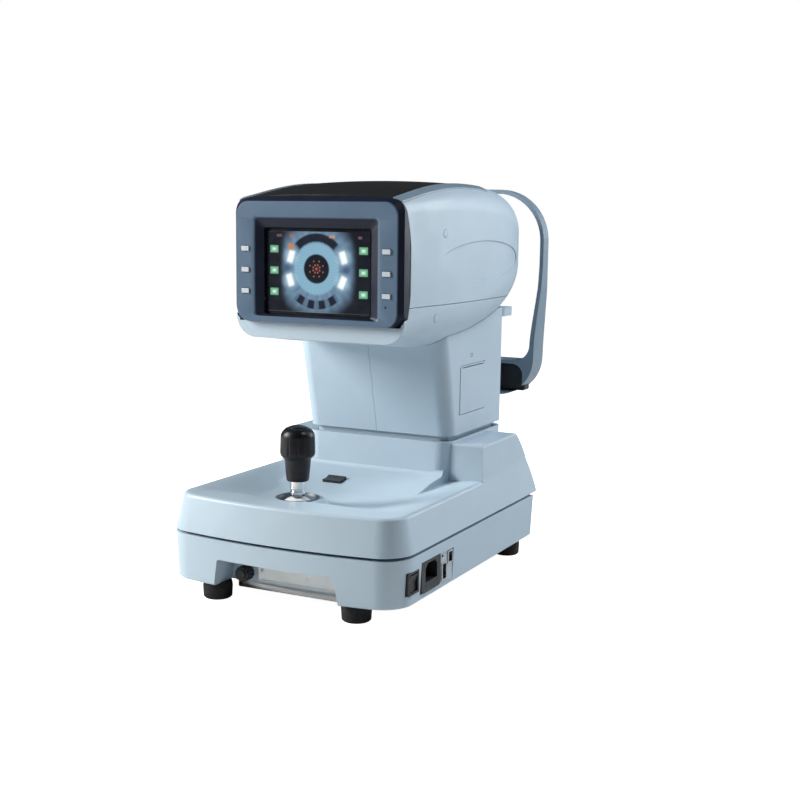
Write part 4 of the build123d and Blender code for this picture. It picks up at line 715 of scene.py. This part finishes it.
def add_recess_apron():
    """The folded steel lip of the chassis that hangs below the back wall of the recess."""
    front = (recess_wall().y - BASE_MIDDLE) / MM

    def hanging(u, v, depth):
        return at(u, front + APRON_SUNK - depth, (APRON_LOW + APRON_TOP) / 2 + v)

    lip = bmesh.new()
    slab(lip, APRON_WIDTH, APRON_TOP - APRON_LOW, 1.5, hanging, APRON_LAYERS)
    piece("recess_apron", lip, "base", "steel")


INSET_Y = 263.2
INSET_Z = 194.5
INSET_HEIGHT = 33
INSET_LAYERS = [(-7.4, 0), (7.0, 0), (7.6, 0.5), (7.8, 1.2), (6.8, 2.2), (6.6, 4)]
INSET_SPANS = ((20.3, 56.0), (60.0, 92.5))


def dark_inset(x0, x1):
    """One dark moulding with a dished face, from x0 to x1."""

    def place(u, v, depth):
        return at((x0 + x1) / 2 + u, INSET_Y - depth, INSET_Z + v)

    inset = bmesh.new()
    slab(inset, x1 - x0, INSET_HEIGHT, 2.5, place, INSET_LAYERS)
    return inset


def add_frame_insets():
    """Dark mouldings in the lower channel of the face frame."""
    for side, name in ((-1, "left"), (1, "right")):
        for number, (near, far) in enumerate(INSET_SPANS):
            x0, x1 = sorted((side * near, side * far))
            piece(f"frame_inset_{name}_{number + 1}", dark_inset(x0, x1), "base", "black")


PIN_SPOT = (35, 250, 228.5)
PIN_STEM = [(0, 1.4), (2, 1.5), (15.5, 1.5), (16, 1.2), (17, 1.2)]
PIN_BALL = 2.6
PIN_BALL_HEIGHT = 19.2
PIN_BALL_ANGLES = (0.5, 1.0, 1.57, 2.1, 2.6, 3.0, 3.14)


def add_chin_pins():
    """The two pins that hold the chin papers, with ball heads and a narrow neck."""
    x, y, z = PIN_SPOT
    profile = PIN_STEM + [
        (PIN_BALL_HEIGHT - PIN_BALL * math.cos(a), PIN_BALL * math.sin(a)) for a in PIN_BALL_ANGLES
    ]
    for side, name in ((-1, "left"), (1, "right")):
        pin = bmesh.new()
        turned(pin, at(side * x, y, z), Vector((0, 0, 1)), profile, 28)
        piece(f"chin_paper_pin_{name}", pin, "chin_rest", "white")


SIGN_PLACE = (BESIDE_HEAD, 94, 238)
SIGN_LAYERS = [(-0.3, 0), (0.08, 0), (0.12, 0.08)]
SIGN_BARS = (
    # along, up, width, height
    (0, 0.9, 7.0, 0.7),
    (-2.2, -1.0, 0.7, 3.2),
    (2.2, -1.0, 0.7, 3.2),
    (0, -2.4, 4.6, 0.7),
)


def add_printer_mark():
    """A small generic sign of a sheet of paper over the printer door."""
    place, normal = surface_at("neck_cover_right", at(*SIGN_PLACE), Vector((-1, 0, 0)))
    along = Vector((0, 1, 0))
    up = along.cross(normal).normalized() * -1
    if up.z < 0:
        up = -up
    for number, (u, v, width, height) in enumerate(SIGN_BARS):

        def on_side(a, b, depth, u=u, v=v):
            return place + along * (a + u) * MM + up * (b + v) * MM + normal * depth * MM

        bar = bmesh.new()
        slab(bar, width, height, 0.3, on_side, SIGN_LAYERS)
        piece(f"printer_sign_bar_{number + 1}", bar, "head", "ring")


PAD_HALF = 47.6
PAD_COLUMNS = 72
PAD_RING = 40
PAD_LOW = 396.2
PAD_RISE = 7.0
PAD_TOP = 417.8
PAD_BACK = 264.1
PAD_FACE = 278.9
PAD_END_POWER = 9
PAD_FACE_POWER = 0.62
PAD_EDGE_POWER = 0.72
SEAM_DEPTH = 0.055
SEAM_PLACE = -0.55
SEAM_WIDTH = 0.10


def add_forehead_pad():
    """The soft forehead band: a crowned silicone strip with a pressed seam near its back."""
    layers = []
    for column in range(PAD_COLUMNS + 1):
        run = math.sin(math.pi * (column / PAD_COLUMNS - 0.5))
        x = PAD_HALF * run
        taper = max(0.12, (1 - abs(run) ** PAD_END_POWER) ** 0.5)
        low = PAD_LOW + PAD_RISE * run * run
        middle = (low + PAD_TOP) / 2
        tall = (PAD_TOP - low) / 2 * (0.55 + 0.45 * taper)
        deep = (PAD_FACE - PAD_BACK) / 2
        ring = []
        for k in range(PAD_RING):
            angle = 2 * math.pi * k / PAD_RING
            c, n = math.cos(angle), math.sin(angle)
            forward = math.copysign(abs(c) ** PAD_FACE_POWER, c)
            seam = 1 - SEAM_DEPTH * math.exp(-((forward - SEAM_PLACE) / SEAM_WIDTH) ** 2)
            crown = forward * (taper if forward > 0 else 1)
            y = (PAD_BACK + PAD_FACE) / 2 + deep * crown
            z = middle + tall * math.copysign(abs(n) ** PAD_EDGE_POWER, n) * seam
            ring.append(at(x, y, z))
        layers.append(ring)
    mesh = bmesh.new()
    stacked(mesh, layers)
    pad = piece("forehead_pad", mesh, "base", "pad", smooth_angle=60)
    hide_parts("forehead_rest")


# ---------------------------------------------------------------- studio
AMBIENT = 0.065
AMBIENT_TINT = (0.84, 0.93, 1.0, 1)
FLOOR_GLOW = 0.96
FLOOR_BOUNCE = 0.0
FLOOR_SIZE = 60
FLOOR_DROP = 0.0002
LIGHT_TARGET = Vector((0, 0, 0.22))
LIGHTS = (
    # name, place, size, watts, colour
    ("key_light", (-1.18, -0.80, 0.84), (0.5, 0.7), 34, (1.0, 0.965, 0.91)),
    ("side_light", (1.20, 1.55, 0.85), (0.8, 1.2), 19, (0.92, 0.98, 1.0)),
    ("top_light", (0.70, 0.25, 1.4), (1.0, 0.4), 11, (1, 1, 1)),
)


def add_area(name, place, size, energy, colour):
    """A rectangular light that looks at the middle of the object."""
    data = bpy.data.lights.new(name, "AREA")
    data.shape = "RECTANGLE"
    data.size, data.size_y = size
    data.energy = energy
    data.color = colour
    lamp = bpy.data.objects.new(name, data)
    place = Vector(place)
    lamp.matrix_world = aimed(place, (LIGHT_TARGET - place).normalized())
    bpy.context.scene.collection.objects.link(lamp)


def add_studio():
    """A pale floor and backdrop that look white, and three soft lights."""
    world = bpy.data.worlds.new("studio")
    world.use_nodes = True
    nodes, links = world.node_tree.nodes, world.node_tree.links
    ambient = nodes["Background"]
    ambient.inputs["Color"].default_value = AMBIENT_TINT
    ambient.inputs["Strength"].default_value = AMBIENT
    backdrop = nodes.new("ShaderNodeBackground")
    backdrop.inputs["Color"].default_value = (1, 1, 1, 1)
    seen = nodes.new("ShaderNodeLightPath").outputs["Is Camera Ray"]
    either = nodes.new("ShaderNodeMixShader")
    links.new(seen, either.inputs[0])
    links.new(ambient.outputs[0], either.inputs[1])
    links.new(backdrop.outputs[0], either.inputs[2])
    links.new(either.outputs[0], nodes["World Output"].inputs["Surface"])
    bpy.context.scene.world = world
    for light in LIGHTS:
        add_area(*light)
    floor = bmesh.new()
    bmesh.ops.create_grid(floor, x_segments=8, y_segments=8, size=FLOOR_SIZE)
    mesh = bpy.data.meshes.new("floor")
    floor.to_mesh(mesh)
    floor.free()
    ground = bpy.data.objects.new("floor", mesh)
    ground.location.z = -FLOOR_DROP
    bpy.context.scene.collection.objects.link(ground)
    s = Surface("floor_paint", 0.6, specular=0.2)
    s.colour(s.blend(s.noise(3, 3), (0.80, 0.80, 0.80), (0.83, 0.83, 0.83)))
    s.shader.inputs["Emission Color"].default_value = (1, 1, 1, 1)
    seen = s.node("ShaderNodeLightPath").outputs["Is Camera Ray"]
    s.wire(s.spread(seen, FLOOR_BOUNCE, FLOOR_GLOW, (0, 1)), s.shader.inputs["Emission Strength"])
    mesh.materials.append(s.material)
    scene = bpy.context.scene
    scene.view_settings.view_transform = "Standard"
    scene.view_settings.look = "None"


add_camera()
add_studio()
dress_nodes()
smooth_nodes()
add_screen_picture()
add_screw_plugs()
add_status_lamp()
add_rating_label()
add_recess_apron()
add_frame_insets()
add_chin_pins()
add_printer_mark()
add_forehead_pad()
